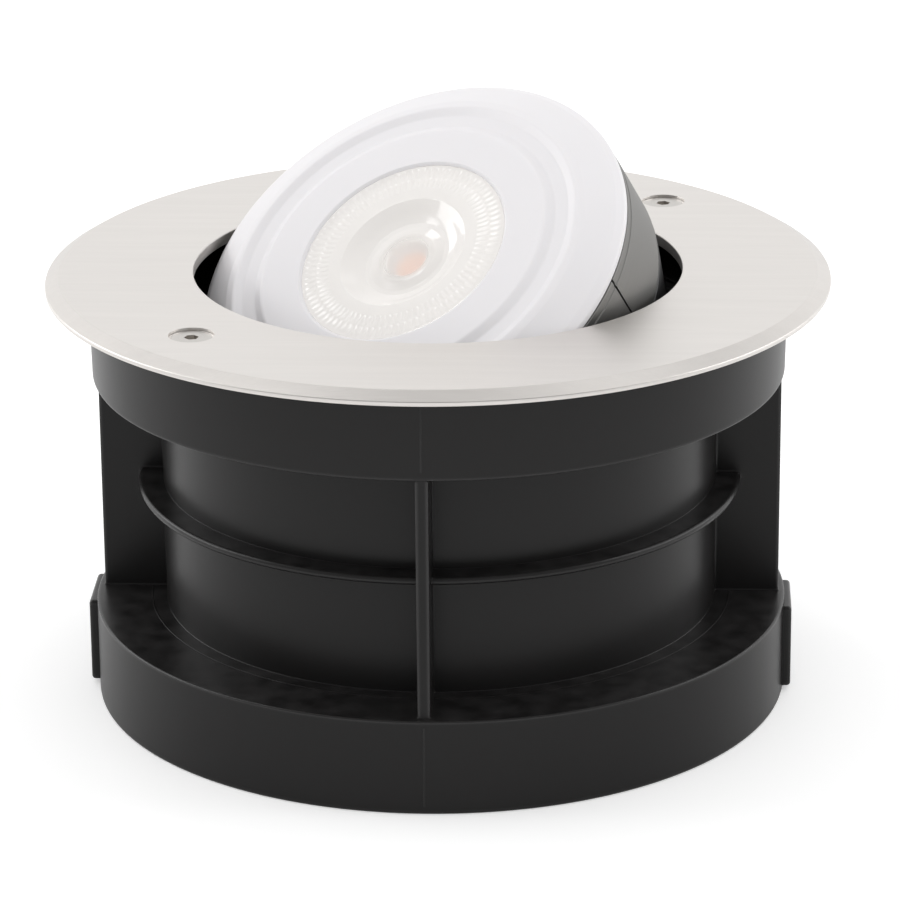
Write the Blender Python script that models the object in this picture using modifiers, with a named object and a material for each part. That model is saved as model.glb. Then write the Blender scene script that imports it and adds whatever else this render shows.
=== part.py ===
"""Recessed ground light: a round ribbed pot, a steel cover ring and a lamp that pans and tilts.

Metres, +Z up. The origin is the centre of the pot's underside. The radial fins lie on X and Y,
the cable entries on X, and the lamp leans by the angles given under the lamp's rest position.
Lengths along the lamp's own axis are counted from its tilt axis, forwards towards the light.
"""

import math

import bmesh
import bpy
from mathutils import Matrix

# Clearances
GAP = 0.0003
OVERRUN = 0.001
WELD_DISTANCE = 0.00001
APERTURE_CLEARANCE = 0.0012
SWING_CLEARANCE = 0.0016
STUD_END_CLEARANCE = 0.0009
EAR_TOP_CLEARANCE = 0.0014
NUT_CLEARANCE = 0.0025

# Lamp, along its own axis
LAMP_RADIUS = 0.0555
RIM_AHEAD = 0.0168
SLEEVE_LENGTH = 0.0201
SLEEVE_WALL = 0.0015
SLEEVE_GROOVE_DEPTH = 0.00035
SLEEVE_GROOVE_WIDTH = 0.0008
SLEEVE_GROOVE_INSET = 0.0016
SLEEVE_SPLIT_WIDTH = 0.0006
BODY_LENGTH = 0.0305
BODY_TAPER = 0.0079
BODY_WALL = 0.0025
BACK_DEPTH = 0.0035
BACK_ROUND = 0.0028
DECK_BEHIND_RIM = 0.0048
DECK_THICKNESS = 0.003
SINK_FIN_DEPTH = 0.0058
SINK_FIN_THICKNESS = 0.0014
SINK_FIN_TAPER = 0.0095
NECK_RADIUS = 0.017
NECK_LENGTH = 0.0073
BASE_RADIUS = 0.0125
BASE_WALL = 0.0028
BASE_LENGTH = 0.0105
BASE_STRAIGHT = 0.004

# Front of the lamp
COVER_THICKNESS = 0.0015
COVER_RISE = 0.0054
COVER_RIM_HEIGHT = 0.0019
COVER_SLOPE_WIDTH = 0.0088
GROOVE_OUTER_INSET = 0.0109
GROOVE_WIDTH = 0.0059
GROOVE_DEPTH = 0.001
GROOVE_SLOPE_SHARE = 0.2
LENS_RADIUS = 0.0263
LENS_FLANGE = 0.0018
LENS_RECESS = 0.0006
LENS_BOWL_RADIUS = 0.0158
LENS_BOWL_DEPTH = 0.0034
LENS_BOWL_CROWN = 0.0014
LENS_CROWN_SHARE = 0.6
LENS_FOOT_RADIUS = 0.0085
LENS_CAVITY_RADIUS = 0.0062
LENS_CAVITY_DEPTH = 0.0022
CHIP_RADIUS = 0.0056
CHIP_THICKNESS = 0.0012
CHIP_DOME_RADIUS = 0.0042
CHIP_DOME_HEIGHT = 0.0008
CHIP_SHOULDER_SHARES = (0.7, 0.75)
BOARD_RADIUS = 0.019
BOARD_THICKNESS = 0.0016
BOARD_SCREW_CIRCLE = 0.0145
BOARD_SCREW_RADIUS = 0.0014
BOARD_SCREW_HEAD_RADIUS = 0.0024
BOARD_SCREW_HEAD_HEIGHT = 0.0018

# Driver, contacts and lampholder
DRIVER_LENGTH = 0.030
DRIVER_THICKNESS = 0.0016
CAPACITOR_RADIUS = 0.0033
CAPACITOR_LENGTH = 0.011
CHOKE_SIZE = 0.0072
CHOKE_HEIGHT = 0.0056
CHOKE_EDGE = 0.0005
PIN_SPACING = 0.010
PIN_STEM_RADIUS = 0.00125
PIN_HEAD_RADIUS = 0.00245
PIN_HEAD_LENGTH = 0.0022
PIN_LENGTH = 0.006
HOLDER_RADIUS = 0.0145
HOLDER_LENGTH = 0.0115
HOLDER_EDGE = 0.001
HOLDER_COVER_LENGTH = 0.0038
HOLDER_COVER_INSET = 0.0007
LEAD_HOLE_RADIUS = 0.0015

# Lamp's rest position, in degrees
LEAN_AZIMUTH = 232.3
LEAN_ANGLE = 37.1
SPLIT_AZIMUTH = 100.4

# Swivel frame and its pivots
FRAME_THICKNESS = 0.0025
FRAME_BEARING = 0.0036
FRAME_EDGE_CLEARANCE = 0.0006
EAR_THICKNESS = 0.002
EAR_SETBACK = 0.0002
EAR_RADIUS = 0.0062
EAR_FOOT_HALF_WIDTH = 0.012
EAR_HEAD_ANGLES = (-20.0, 200.0)
STUD_RADIUS = 0.002
STUD_FLANGE_RADIUS = 0.0048
STUD_FLANGE_THICKNESS = 0.0015
STUD_SHOULDER_RADIUS = 0.0032
STUD_TIP = 0.0004
WASHER_RADIUS = 0.0039
WASHER_THICKNESS = 0.0008
NUT_FLAT_RADIUS = 0.0035
NUT_THICKNESS = 0.0033
SNAP_THICKNESS = 0.0015
SNAP_BITE = 0.0008
SNAP_WIDTH = 0.0043
SNAP_OPENING = 0.014
SNAP_EYE_RADIUS = 0.0009
SNAP_EYE_INSET = 0.0025

# Moulded pot
POT_HEIGHT = 0.102
POT_WALL = 0.003
CHANNEL_WIDTH = 0.0092
BAND_DRAFT = 0.0004
BAND_EDGE = 0.0008
LOWER_BAND_HEIGHT = 0.0235
LOWER_BAND_STEP = 0.0005
RIB_DEPTH = 0.006
RIB_THICKNESS = 0.002
RIB_HEIGHT_SHARE = 0.514
WALL_COVE = 0.0042
FIN_THICKNESS = 0.003
FIN_INSET = 0.0011
FIN_EDGE = 0.0004
SEAM_WIDTH = 0.0007
SEAM_HEIGHT = 0.0002
WEB_THICKNESS = 0.0018
WEB_DROP = 0.003
PAD_WIDTH = 0.019
PAD_PROUD = 0.0016
PAD_MARGIN = 0.0012
PAD_EDGE = 0.0009

# Cover ring, its seal and its screws
RING_THICKNESS = 0.003
RING_OVERHANG = 0.0103
RING_BEVEL_WIDTH = 0.0032
RING_BEVEL_DROP = 0.0019
RING_HOLE_EDGE = 0.0004
RING_REBATE = 0.0002
RING_REBATE_MARGIN = 0.0009
GASKET_THICKNESS = 0.0014
GASKET_INSET = 0.0008
RING_SCREW_AZIMUTH = 45.0
RING_SCREW_RADIUS = 0.0025
RING_SCREW_HEAD_RADIUS = 0.0051
RING_SCREW_HEAD_DEPTH = 0.0026
RING_SCREW_BITE = 0.0095
RING_SCREW_SOCKET = 0.0015
RING_SCREW_SOCKET_DEPTH = 0.0019
INSERT_WALL = 0.0007
INSERT_LENGTH = 0.0105
INSERT_GROOVE = 0.0004
INSERT_WAIST_HALF = 0.001
BOSS_WALL = 0.0012

# Base plate and cable entries
PLATE_THICKNESS = 0.003
PLATE_SCREW_CIRCLE_INSET = 0.0082
PLATE_SCREW_RADIUS = 0.0017
PLATE_SCREW_HEAD_RADIUS = 0.0034
PLATE_SCREW_HEAD_DEPTH = 0.0019
PLATE_SCREW_LENGTH = 0.011
PLATE_SCREW_SINK = 0.0002
PLATE_BOSS_RADIUS = 0.004
SEAL_MARGIN = 0.001
SEAL_LIP = 0.0016
SEAL_LIP_THICKNESS = 0.0018
SEAL_RECESS = 0.0004
SEAL_MEMBRANE = 0.0012
CABLE_HOLE_RADIUS = 0.0036

# Terminal block
TERMINAL_LENGTH = 0.034
TERMINAL_WIDTH = 0.017
TERMINAL_HEIGHT = 0.0125
TERMINAL_SHOULDER_WIDTH = 0.0105
TERMINAL_SHOULDER_DROP = 0.0035
TERMINAL_OFFSET = 0.057
TERMINAL_PITCH = 0.0085
TERMINAL_BORE_RADIUS = 0.0019
TERMINAL_SCREW_RADIUS = 0.0016
TERMINAL_SCREW_LENGTH = 0.0042
TERMINAL_SCREW_SINK = 0.0008
TERMINAL_SCREW_SLOT = 0.0006

# Fineness of round forms
FINE_STEPS = 44
MEDIUM_STEPS = 30
SMALL_STEPS = 14
TINY_STEPS = 8
HEX_STEPS = 6
EAR_HEAD_STEPS = 12
COVE_STEPS = 3
EDGE_STEPS = 2
SINK_FIN_COUNT = 20
WEB_COUNT = 12
SHARP_ANGLE = math.radians(35.0)

# Sizes that follow: lamp along its axis
SEAT_T = RIM_AHEAD - COVER_RIM_HEIGHT
SLEEVE_FRONT_T = SEAT_T
SLEEVE_BACK_T = SLEEVE_FRONT_T - SLEEVE_LENGTH
BODY_STEP_T = SLEEVE_BACK_T - GAP
BODY_BACK_T = BODY_STEP_T - BODY_LENGTH
BODY_BACK_RADIUS = LAMP_RADIUS - BODY_TAPER
DECK_T = RIM_AHEAD - DECK_BEHIND_RIM
SLEEVE_INNER_RADIUS = LAMP_RADIUS - SLEEVE_WALL
CUP_RADIUS = SLEEVE_INNER_RADIUS - GAP
BACK_T = BODY_BACK_T - BACK_DEPTH
NECK_T = BACK_T - NECK_LENGTH
BASE_FRONT_T = NECK_T - GAP
BASE_BACK_T = BASE_FRONT_T - BASE_LENGTH
BASE_BORE_RADIUS = BASE_RADIUS - BASE_WALL
HOLDER_FRONT_T = BASE_BACK_T - GAP
HOLDER_BACK_T = HOLDER_FRONT_T - HOLDER_LENGTH

# Sizes that follow: swivel frame, pivots and the well round them
RIM_SWING = math.hypot(LAMP_RADIUS, RIM_AHEAD)
BODY_SWING = math.hypot(BODY_BACK_RADIUS, BODY_BACK_T)
RING_HOLE_RADIUS = RIM_SWING + APERTURE_CLEARANCE
FRAME_INNER_RADIUS = max(BODY_SWING, RIM_SWING) + SWING_CLEARANCE
EAR_INNER = FRAME_INNER_RADIUS + EAR_SETBACK
EAR_OUTER = EAR_INNER + EAR_THICKNESS
WASHER_INNER = EAR_OUTER + GAP
NUT_INNER = WASHER_INNER + WASHER_THICKNESS + GAP
NUT_OUTER = NUT_INNER + NUT_THICKNESS
STUD_END = NUT_OUTER + STUD_TIP
NUT_CORNER_RADIUS = NUT_FLAT_RADIUS / math.cos(math.pi / HEX_STEPS)
WELL_RADIUS = FRAME_INNER_RADIUS + FRAME_BEARING
UPPER_WELL_RADIUS = STUD_END + STUD_END_CLEARANCE
FRAME_RADIUS = UPPER_WELL_RADIUS - FRAME_EDGE_CLEARANCE

# Sizes that follow: pot, gasket and ring
WELL_OUTER_RADIUS = WELL_RADIUS + POT_WALL
CHANNEL_INNER_RADIUS = UPPER_WELL_RADIUS + POT_WALL
CHANNEL_OUTER_RADIUS = CHANNEL_INNER_RADIUS + CHANNEL_WIDTH
BAND_RADIUS = CHANNEL_OUTER_RADIUS + POT_WALL
LOWER_RADIUS = BAND_RADIUS + LOWER_BAND_STEP
LOWER_INNER_RADIUS = LOWER_RADIUS - POT_WALL
FIN_RADIUS = BAND_RADIUS - FIN_INSET
RIB_RADIUS = WELL_OUTER_RADIUS + RIB_DEPTH
RING_RADIUS = BAND_RADIUS + RING_OVERHANG
SCREW_CIRCLE = (CHANNEL_INNER_RADIUS + CHANNEL_OUTER_RADIUS) / 2
RING_UNDER_Z = POT_HEIGHT + GASKET_THICKNESS + 2 * GAP
RING_TOP_Z = RING_UNDER_Z + RING_THICKNESS
SNAP_RISE = 2 * GAP + FRAME_THICKNESS
PIVOT_RISE = SNAP_RISE + SNAP_THICKNESS + NUT_CORNER_RADIUS + NUT_CLEARANCE
STEP_Z = RING_UNDER_Z - EAR_TOP_CLEARANCE - EAR_RADIUS - PIVOT_RISE
BAND_BOTTOM_Z = STEP_Z - POT_WALL
PIVOT_Z = STEP_Z + PIVOT_RISE
FRAME_BOTTOM_Z = STEP_Z + GAP
SNAP_BOTTOM_Z = STEP_Z + SNAP_RISE
GROOVE_BOTTOM_Z = SNAP_BOTTOM_Z - GAP / 2
GROOVE_TOP_Z = SNAP_BOTTOM_Z + SNAP_THICKNESS + GAP
SNAP_RADIUS = UPPER_WELL_RADIUS + SNAP_BITE
GROOVE_RADIUS = SNAP_RADIUS + GAP
RIB_Z = LOWER_BAND_HEIGHT + RIB_HEIGHT_SHARE * (BAND_BOTTOM_Z - LOWER_BAND_HEIGHT)
CEILING_Z = LOWER_BAND_HEIGHT - POT_WALL
RING_SCREW_LENGTH = RING_TOP_Z - POT_HEIGHT + RING_SCREW_BITE
INSERT_BORE_RADIUS = RING_SCREW_RADIUS + GAP
INSERT_RADIUS = INSERT_BORE_RADIUS + INSERT_WALL
INSERT_HOLE_RADIUS = INSERT_RADIUS + GAP
BOSS_RADIUS = INSERT_HOLE_RADIUS + BOSS_WALL

# Sizes that follow: base plate and cable entries
PLATE_TOP_Z = PLATE_THICKNESS
PLATE_BOSS_Z = PLATE_TOP_Z + GAP
PLATE_SCREW_CIRCLE = LOWER_INNER_RADIUS - PLATE_SCREW_CIRCLE_INSET
PLATE_HOLE_RADIUS = PLATE_SCREW_RADIUS + GAP
CHAMBER_HEIGHT = CEILING_Z - PLATE_TOP_Z
ENTRY_Z = PLATE_TOP_Z + CHAMBER_HEIGHT / 2
SEAL_LIP_RADIUS = CHAMBER_HEIGHT / 2 - SEAL_MARGIN
SEAL_RADIUS = SEAL_LIP_RADIUS - SEAL_LIP
ENTRY_RADIUS = SEAL_RADIUS + GAP
PAD_FACE = LOWER_RADIUS + PAD_PROUD


def clear_scene():
    """Remove every object that is already in the scene."""
    for existing in list(bpy.data.objects):
        bpy.data.objects.remove(existing, do_unlink=True)


def make_collection(name):
    """Add a collection under the scene's own."""
    collection = bpy.data.collections.new(name)
    bpy.context.scene.collection.children.link(collection)
    return collection


def make_material(name, colour, roughness, metallic=0.0, alpha=1.0):
    """One Principled material for a sub-part."""
    material = bpy.data.materials.new(name)
    material.use_nodes = True
    shader = material.node_tree.nodes["Principled BSDF"]
    shader.inputs["Base Color"].default_value = (*colour, 1.0)
    shader.inputs["Roughness"].default_value = roughness
    shader.inputs["Metallic"].default_value = metallic
    shader.inputs["Alpha"].default_value = alpha
    material.diffuse_color = (*colour, alpha)
    return material


def place(mesh_object, parent=None, location=(0, 0, 0), rotation=(0, 0, 0)):
    """Set an object's parent, place and turn."""
    mesh_object.parent = parent
    mesh_object.location = location
    mesh_object.rotation_euler = rotation
    return mesh_object


def link_mesh(name, mesh, collection, material=None):
    """Make an object of a mesh, in a collection, with its material."""
    mesh_object = bpy.data.objects.new(name, mesh)
    collection.objects.link(mesh_object)
    if material is not None:
        mesh.materials.append(material)
    return mesh_object


def finish_mesh(work, name):
    """Write a bmesh to a new mesh, smooth but for its sharp edges."""
    mesh = bpy.data.meshes.new(name)
    work.to_mesh(mesh)
    work.free()
    mesh.shade_smooth()
    mesh.set_sharp_from_angle(angle=SHARP_ANGLE)
    return mesh


def turned(name, profile, steps, collection, material=None):
    """Turn a profile of (radius, height) points about Z.

    The profile runs from the top down its outer side. One that starts and ends on the axis is a
    solid of revolution, and any other is closed into a ring.
    """
    work = bmesh.new()
    corners = [work.verts.new((radius, 0, height)) for radius, height in profile]
    for first, second in zip(corners, corners[1:]):
        work.edges.new((first, second))
    on_axis = profile[0][0] == 0 and profile[-1][0] == 0
    if not on_axis:
        work.edges.new((corners[-1], corners[0]))
    mesh_object = link_mesh(name, finish_mesh(work, name), collection, material)
    screw = mesh_object.modifiers.new("Turn", "SCREW")
    screw.steps = steps
    screw.render_steps = steps
    screw.use_merge_vertices = True
    screw.merge_threshold = WELD_DISTANCE
    screw.use_smooth_shade = True
    return mesh_object


def prism(radius, bottom, top, steps, at=(0, 0), matrix=None, into=None):
    """Add an upright cylinder to a bmesh, between two heights."""
    work = into if into is not None else bmesh.new()
    centre = Matrix.Translation((at[0], at[1], (bottom + top) / 2))
    bmesh.ops.create_cone(
        work,
        cap_ends=True,
        segments=steps,
        radius1=radius,
        radius2=radius,
        depth=top - bottom,
        matrix=(matrix or Matrix.Identity(4)) @ centre,
    )
    return work


def block(low, high, matrix=None, into=None):
    """Add a box to a bmesh, between two corners."""
    work = into if into is not None else bmesh.new()
    size = [top - bottom for bottom, top in zip(low, high)]
    middle = [(top + bottom) / 2 for bottom, top in zip(low, high)]
    shape = Matrix.Translation(middle) @ Matrix.Diagonal((*size, 1))
    bmesh.ops.create_cube(work, size=1, matrix=(matrix or Matrix.Identity(4)) @ shape)
    return work


def from_bmesh(name, work, collection, material=None):
    """Make an object of a bmesh."""
    return link_mesh(name, finish_mesh(work, name), collection, material)


def spin(degrees):
    """A turn about Z."""
    return Matrix.Rotation(math.radians(degrees), 4, "Z")


def as_cutter(mesh_object):
    """Keep a cutter out of renders and show it as wire."""
    mesh_object.hide_render = True
    mesh_object.display_type = "WIRE"
    return mesh_object


def boolean(target, cutter, operation):
    """Join a cutter to an object or take it away."""
    as_cutter(cutter)
    cutter.parent = target.parent
    modifier = target.modifiers.new(operation.title(), "BOOLEAN")
    modifier.operation = operation
    modifier.solver = "EXACT"
    modifier.object = cutter
    return target


def bevel(target, width, segments=1):
    """Round or chamfer the sharp edges of an object."""
    modifier = target.modifiers.new("Edges", "BEVEL")
    modifier.width = width
    modifier.segments = segments
    modifier.limit_method = "ANGLE"
    modifier.angle_limit = SHARP_ANGLE
    return target


def arc(centre, radius, start, end, count):
    """Points of (radius, height) along an arc, with its angles in degrees."""
    points = []
    for index in range(count + 1):
        angle = math.radians(start + (end - start) * index / count)
        points.append((centre[0] + radius * math.cos(angle), centre[1] + radius * math.sin(angle)))
    return points


def flat_outline(name, outline, thickness, collection, material=None):
    """Make a plate from a 2D curve with straight runs, in the XY plane and centred on it."""
    curve = bpy.data.curves.new(name, "CURVE")
    curve.dimensions = "2D"
    curve.fill_mode = "BOTH"
    curve.extrude = thickness / 2
    spline = curve.splines.new("POLY")
    spline.points.add(len(outline) - 1)
    for point, (x, y) in zip(spline.points, outline):
        point.co = (x, y, 0, 1)
    spline.use_cyclic_u = True
    outline_object = bpy.data.objects.new(name + "_outline", curve)
    collection.objects.link(outline_object)
    graph = bpy.context.evaluated_depsgraph_get()
    mesh = bpy.data.meshes.new_from_object(outline_object.evaluated_get(graph))
    work = bmesh.new()
    work.from_mesh(mesh)
    bmesh.ops.remove_doubles(work, verts=work.verts, dist=WELD_DISTANCE)
    bmesh.ops.recalc_face_normals(work, faces=work.faces)
    bpy.data.objects.remove(outline_object, do_unlink=True)
    bpy.data.meshes.remove(mesh)
    return from_bmesh(name, work, collection, material)


def pot_profile():
    """Section of the pot: upper band, rib, well wall, lower band and the step for the frame."""
    rib_top = RIB_Z + RIB_THICKNESS / 2
    rib_nose = RIB_RADIUS - RIB_THICKNESS / 2
    lower_edge = LOWER_RADIUS - BAND_EDGE
    band_edge = BAND_RADIUS - BAND_DRAFT - BAND_EDGE
    profile = [(BAND_RADIUS, POT_HEIGHT)]
    profile += arc((band_edge, BAND_BOTTOM_Z + BAND_EDGE), BAND_EDGE, 0, -90, EDGE_STEPS)
    profile += [(WELL_OUTER_RADIUS, BAND_BOTTOM_Z), (WELL_OUTER_RADIUS, rib_top)]
    profile += arc((rib_nose, RIB_Z), RIB_THICKNESS / 2, 90, -90, EDGE_STEPS)
    profile += [(WELL_OUTER_RADIUS, RIB_Z - RIB_THICKNESS / 2)]
    cove = (WELL_OUTER_RADIUS + WALL_COVE, LOWER_BAND_HEIGHT + WALL_COVE)
    profile += arc(cove, WALL_COVE, 180, 270, COVE_STEPS)
    profile += arc((lower_edge, LOWER_BAND_HEIGHT - BAND_EDGE), BAND_EDGE, 90, 0, EDGE_STEPS)
    profile += [(LOWER_RADIUS, BAND_EDGE), (lower_edge, 0), (LOWER_INNER_RADIUS, 0)]
    profile += [(LOWER_INNER_RADIUS, CEILING_Z), (WELL_RADIUS, CEILING_Z), (WELL_RADIUS, STEP_Z)]
    profile += [(UPPER_WELL_RADIUS, STEP_Z), (UPPER_WELL_RADIUS, GROOVE_BOTTOM_Z)]
    profile += [(GROOVE_RADIUS, GROOVE_BOTTOM_Z), (GROOVE_RADIUS, GROOVE_TOP_Z)]
    profile += [(UPPER_WELL_RADIUS, GROOVE_TOP_Z), (UPPER_WELL_RADIUS, POT_HEIGHT)]
    profile += [(CHANNEL_INNER_RADIUS, POT_HEIGHT), (CHANNEL_INNER_RADIUS, STEP_Z)]
    profile += [(CHANNEL_OUTER_RADIUS, STEP_Z), (CHANNEL_OUTER_RADIUS, POT_HEIGHT)]
    return profile


def ring_screw_places():
    """The two opposite places of the ring's screws."""
    angles = [math.radians(RING_SCREW_AZIMUTH + turn) for turn in (0, 180)]
    return [(SCREW_CIRCLE * math.cos(angle), SCREW_CIRCLE * math.sin(angle)) for angle in angles]


def plate_screw_places():
    """The four places of the base plate's screws, between the fins."""
    angles = [math.radians(RING_SCREW_AZIMUTH + turn) for turn in (0, 90, 180, 270)]
    circle = PLATE_SCREW_CIRCLE
    return [(circle * math.cos(angle), circle * math.sin(angle)) for angle in angles]


def pot_additions(cutters):
    """Fins, mould seams, channel webs, bosses and cable pads that are one moulding with the pot."""
    fins = bmesh.new()
    inner = WELL_OUTER_RADIUS - OVERRUN
    for turn in range(4):
        low = (inner, -FIN_THICKNESS / 2, LOWER_BAND_HEIGHT - OVERRUN)
        high = (FIN_RADIUS, FIN_THICKNESS / 2, BAND_BOTTOM_Z + OVERRUN)
        block(low, high, spin(turn * 90), fins)
    fin_cutter = bevel(from_bmesh("cut_pot_fins", fins, cutters), FIN_EDGE)

    webs = bmesh.new()
    for index in range(WEB_COUNT):
        low = (CHANNEL_INNER_RADIUS - OVERRUN, -WEB_THICKNESS / 2, STEP_Z - OVERRUN)
        high = (CHANNEL_OUTER_RADIUS + OVERRUN, WEB_THICKNESS / 2, POT_HEIGHT - WEB_DROP)
        block(low, high, spin(index * 360 / WEB_COUNT), webs)
    for at in ring_screw_places():
        prism(BOSS_RADIUS, STEP_Z - OVERRUN, POT_HEIGHT, SMALL_STEPS, at, into=webs)
    for at in plate_screw_places():
        prism(PLATE_BOSS_RADIUS, PLATE_BOSS_Z, CEILING_Z + OVERRUN, SMALL_STEPS, at, into=webs)
    web_cutter = from_bmesh("cut_pot_webs", webs, cutters)

    seams = bmesh.new()
    for turn in (90, 270):
        reach = BAND_RADIUS + SEAM_HEIGHT
        low = (BAND_RADIUS - OVERRUN, -SEAM_WIDTH / 2, BAND_BOTTOM_Z + 2 * BAND_EDGE)
        block(low, (reach, SEAM_WIDTH / 2, POT_HEIGHT - BAND_EDGE), spin(turn), seams)
        reach = LOWER_RADIUS + SEAM_HEIGHT
        low = (LOWER_RADIUS - OVERRUN, -SEAM_WIDTH / 2, 2 * BAND_EDGE)
        block(low, (reach, SEAM_WIDTH / 2, LOWER_BAND_HEIGHT - 2 * BAND_EDGE), spin(turn), seams)
    seam_cutter = from_bmesh("cut_pot_seams", seams, cutters)

    pads = bmesh.new()
    for turn in (0, 180):
        low = (LOWER_INNER_RADIUS + OVERRUN, -PAD_WIDTH / 2, PAD_MARGIN)
        high = (PAD_FACE, PAD_WIDTH / 2, LOWER_BAND_HEIGHT - PAD_MARGIN)
        block(low, high, spin(turn), pads)
    pad_cutter = bevel(from_bmesh("cut_pot_pads", pads, cutters), PAD_EDGE)
    return fin_cutter, web_cutter, seam_cutter, pad_cutter


def pot_holes(cutters):
    """Insert holes, screw holes in the bosses and the bores of the cable entries."""
    holes = bmesh.new()
    insert_floor = POT_HEIGHT - INSERT_LENGTH - GAP
    for at in ring_screw_places():
        prism(INSERT_HOLE_RADIUS, insert_floor, POT_HEIGHT + OVERRUN, SMALL_STEPS, at, into=holes)
    for at in plate_screw_places():
        top = PLATE_SCREW_SINK + PLATE_SCREW_LENGTH + GAP
        prism(PLATE_HOLE_RADIUS, PLATE_BOSS_Z - OVERRUN, top, TINY_STEPS, at, into=holes)
    for turn in (0, 180):
        lay = spin(turn) @ Matrix.Translation((0, 0, ENTRY_Z)) @ Matrix.Rotation(math.pi / 2, 4, "Y")
        inside = LOWER_INNER_RADIUS - OVERRUN
        prism(ENTRY_RADIUS, inside, PAD_FACE + OVERRUN, SMALL_STEPS, matrix=lay, into=holes)
    return from_bmesh("cut_pot_holes", holes, cutters)


def build_pot(parts, cutters):
    """Black moulded pot."""
    plastic = make_material("black_polypropylene", (0.022, 0.021, 0.022), 0.42)
    pot = turned("ground_pot", pot_profile(), FINE_STEPS, parts, plastic)
    for cutter in pot_additions(cutters):
        boolean(pot, cutter, "UNION")
    boolean(pot, pot_holes(cutters), "DIFFERENCE")


def screw_profile(head_radius, head_depth, radius, length):
    """Countersunk screw with its flat face at the top, on the axis at height zero."""
    return [(0, 0), (head_radius, 0), (radius, -head_depth), (radius, -length), (0, -length)]


def build_base_plate(parts, cutters):
    """Plate that closes the pot from below, with four countersunk screws."""
    plastic = make_material("black_base_plastic", (0.025, 0.024, 0.025), 0.5)
    steel = make_material("zinc_plated_steel", (0.6, 0.6, 0.58), 0.35, 1.0)
    radius = LOWER_INNER_RADIUS - GAP
    plate = from_bmesh("base_plate", prism(radius, 0, PLATE_THICKNESS, FINE_STEPS), parts, plastic)
    sink_head = PLATE_SCREW_HEAD_RADIUS + GAP
    sink_depth = PLATE_SCREW_HEAD_DEPTH + PLATE_SCREW_SINK
    through = PLATE_THICKNESS + OVERRUN
    for index, at in enumerate(plate_screw_places()):
        sink = [(0, OVERRUN), (sink_head, OVERRUN), (sink_head, -PLATE_SCREW_SINK)]
        sink += [(PLATE_HOLE_RADIUS, -sink_depth), (PLATE_HOLE_RADIUS, -through), (0, -through)]
        cutter = turned(f"cut_plate_sink_{index + 1}", sink, TINY_STEPS, cutters)
        place(cutter, location=(*at, 0), rotation=(math.pi, 0, 0))
        boolean(plate, cutter, "DIFFERENCE")
        shape = screw_profile(
            PLATE_SCREW_HEAD_RADIUS, PLATE_SCREW_HEAD_DEPTH, PLATE_SCREW_RADIUS, PLATE_SCREW_LENGTH
        )
        screw = turned(f"plate_screw_{index + 1}", shape, TINY_STEPS, parts, steel)
        place(screw, location=(*at, PLATE_SCREW_SINK), rotation=(math.pi, 0, 0))


def seal_profile(pierced):
    """Rubber cable seal along +Z, outwards: a lip inside the wall and a body through the bore."""
    outside = PAD_FACE - SEAL_RECESS
    lip_out = math.sqrt(LOWER_INNER_RADIUS**2 - SEAL_LIP_RADIUS**2) - GAP
    lip_in = lip_out - SEAL_LIP_THICKNESS
    if pierced:
        inner = CABLE_HOLE_RADIUS
        profile = [(inner, outside), (SEAL_RADIUS, outside), (SEAL_RADIUS, lip_out)]
        profile += [(SEAL_LIP_RADIUS, lip_out), (SEAL_LIP_RADIUS, lip_in), (inner, lip_in)]
        return profile
    dish = outside - SEAL_MEMBRANE
    profile = [(0, dish), (CABLE_HOLE_RADIUS, dish), (CABLE_HOLE_RADIUS + SEAL_MEMBRANE, outside)]
    profile += [(SEAL_RADIUS, outside), (SEAL_RADIUS, lip_out), (SEAL_LIP_RADIUS, lip_out)]
    profile += [(SEAL_LIP_RADIUS, lip_in), (0, lip_in)]
    return profile


def build_cable_seals(parts):
    """One pierced cable seal and, opposite, one that is still closed."""
    rubber = make_material("black_seal_rubber", (0.018, 0.018, 0.018), 0.7)
    for name, pierced, turn in (("cable_seal_left", True, 180), ("cable_seal_right", False, 0)):
        seal = turned(name, seal_profile(pierced), SMALL_STEPS, parts, rubber)
        place(seal, location=(0, 0, ENTRY_Z), rotation=(0, math.pi / 2, math.radians(turn)))


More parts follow.
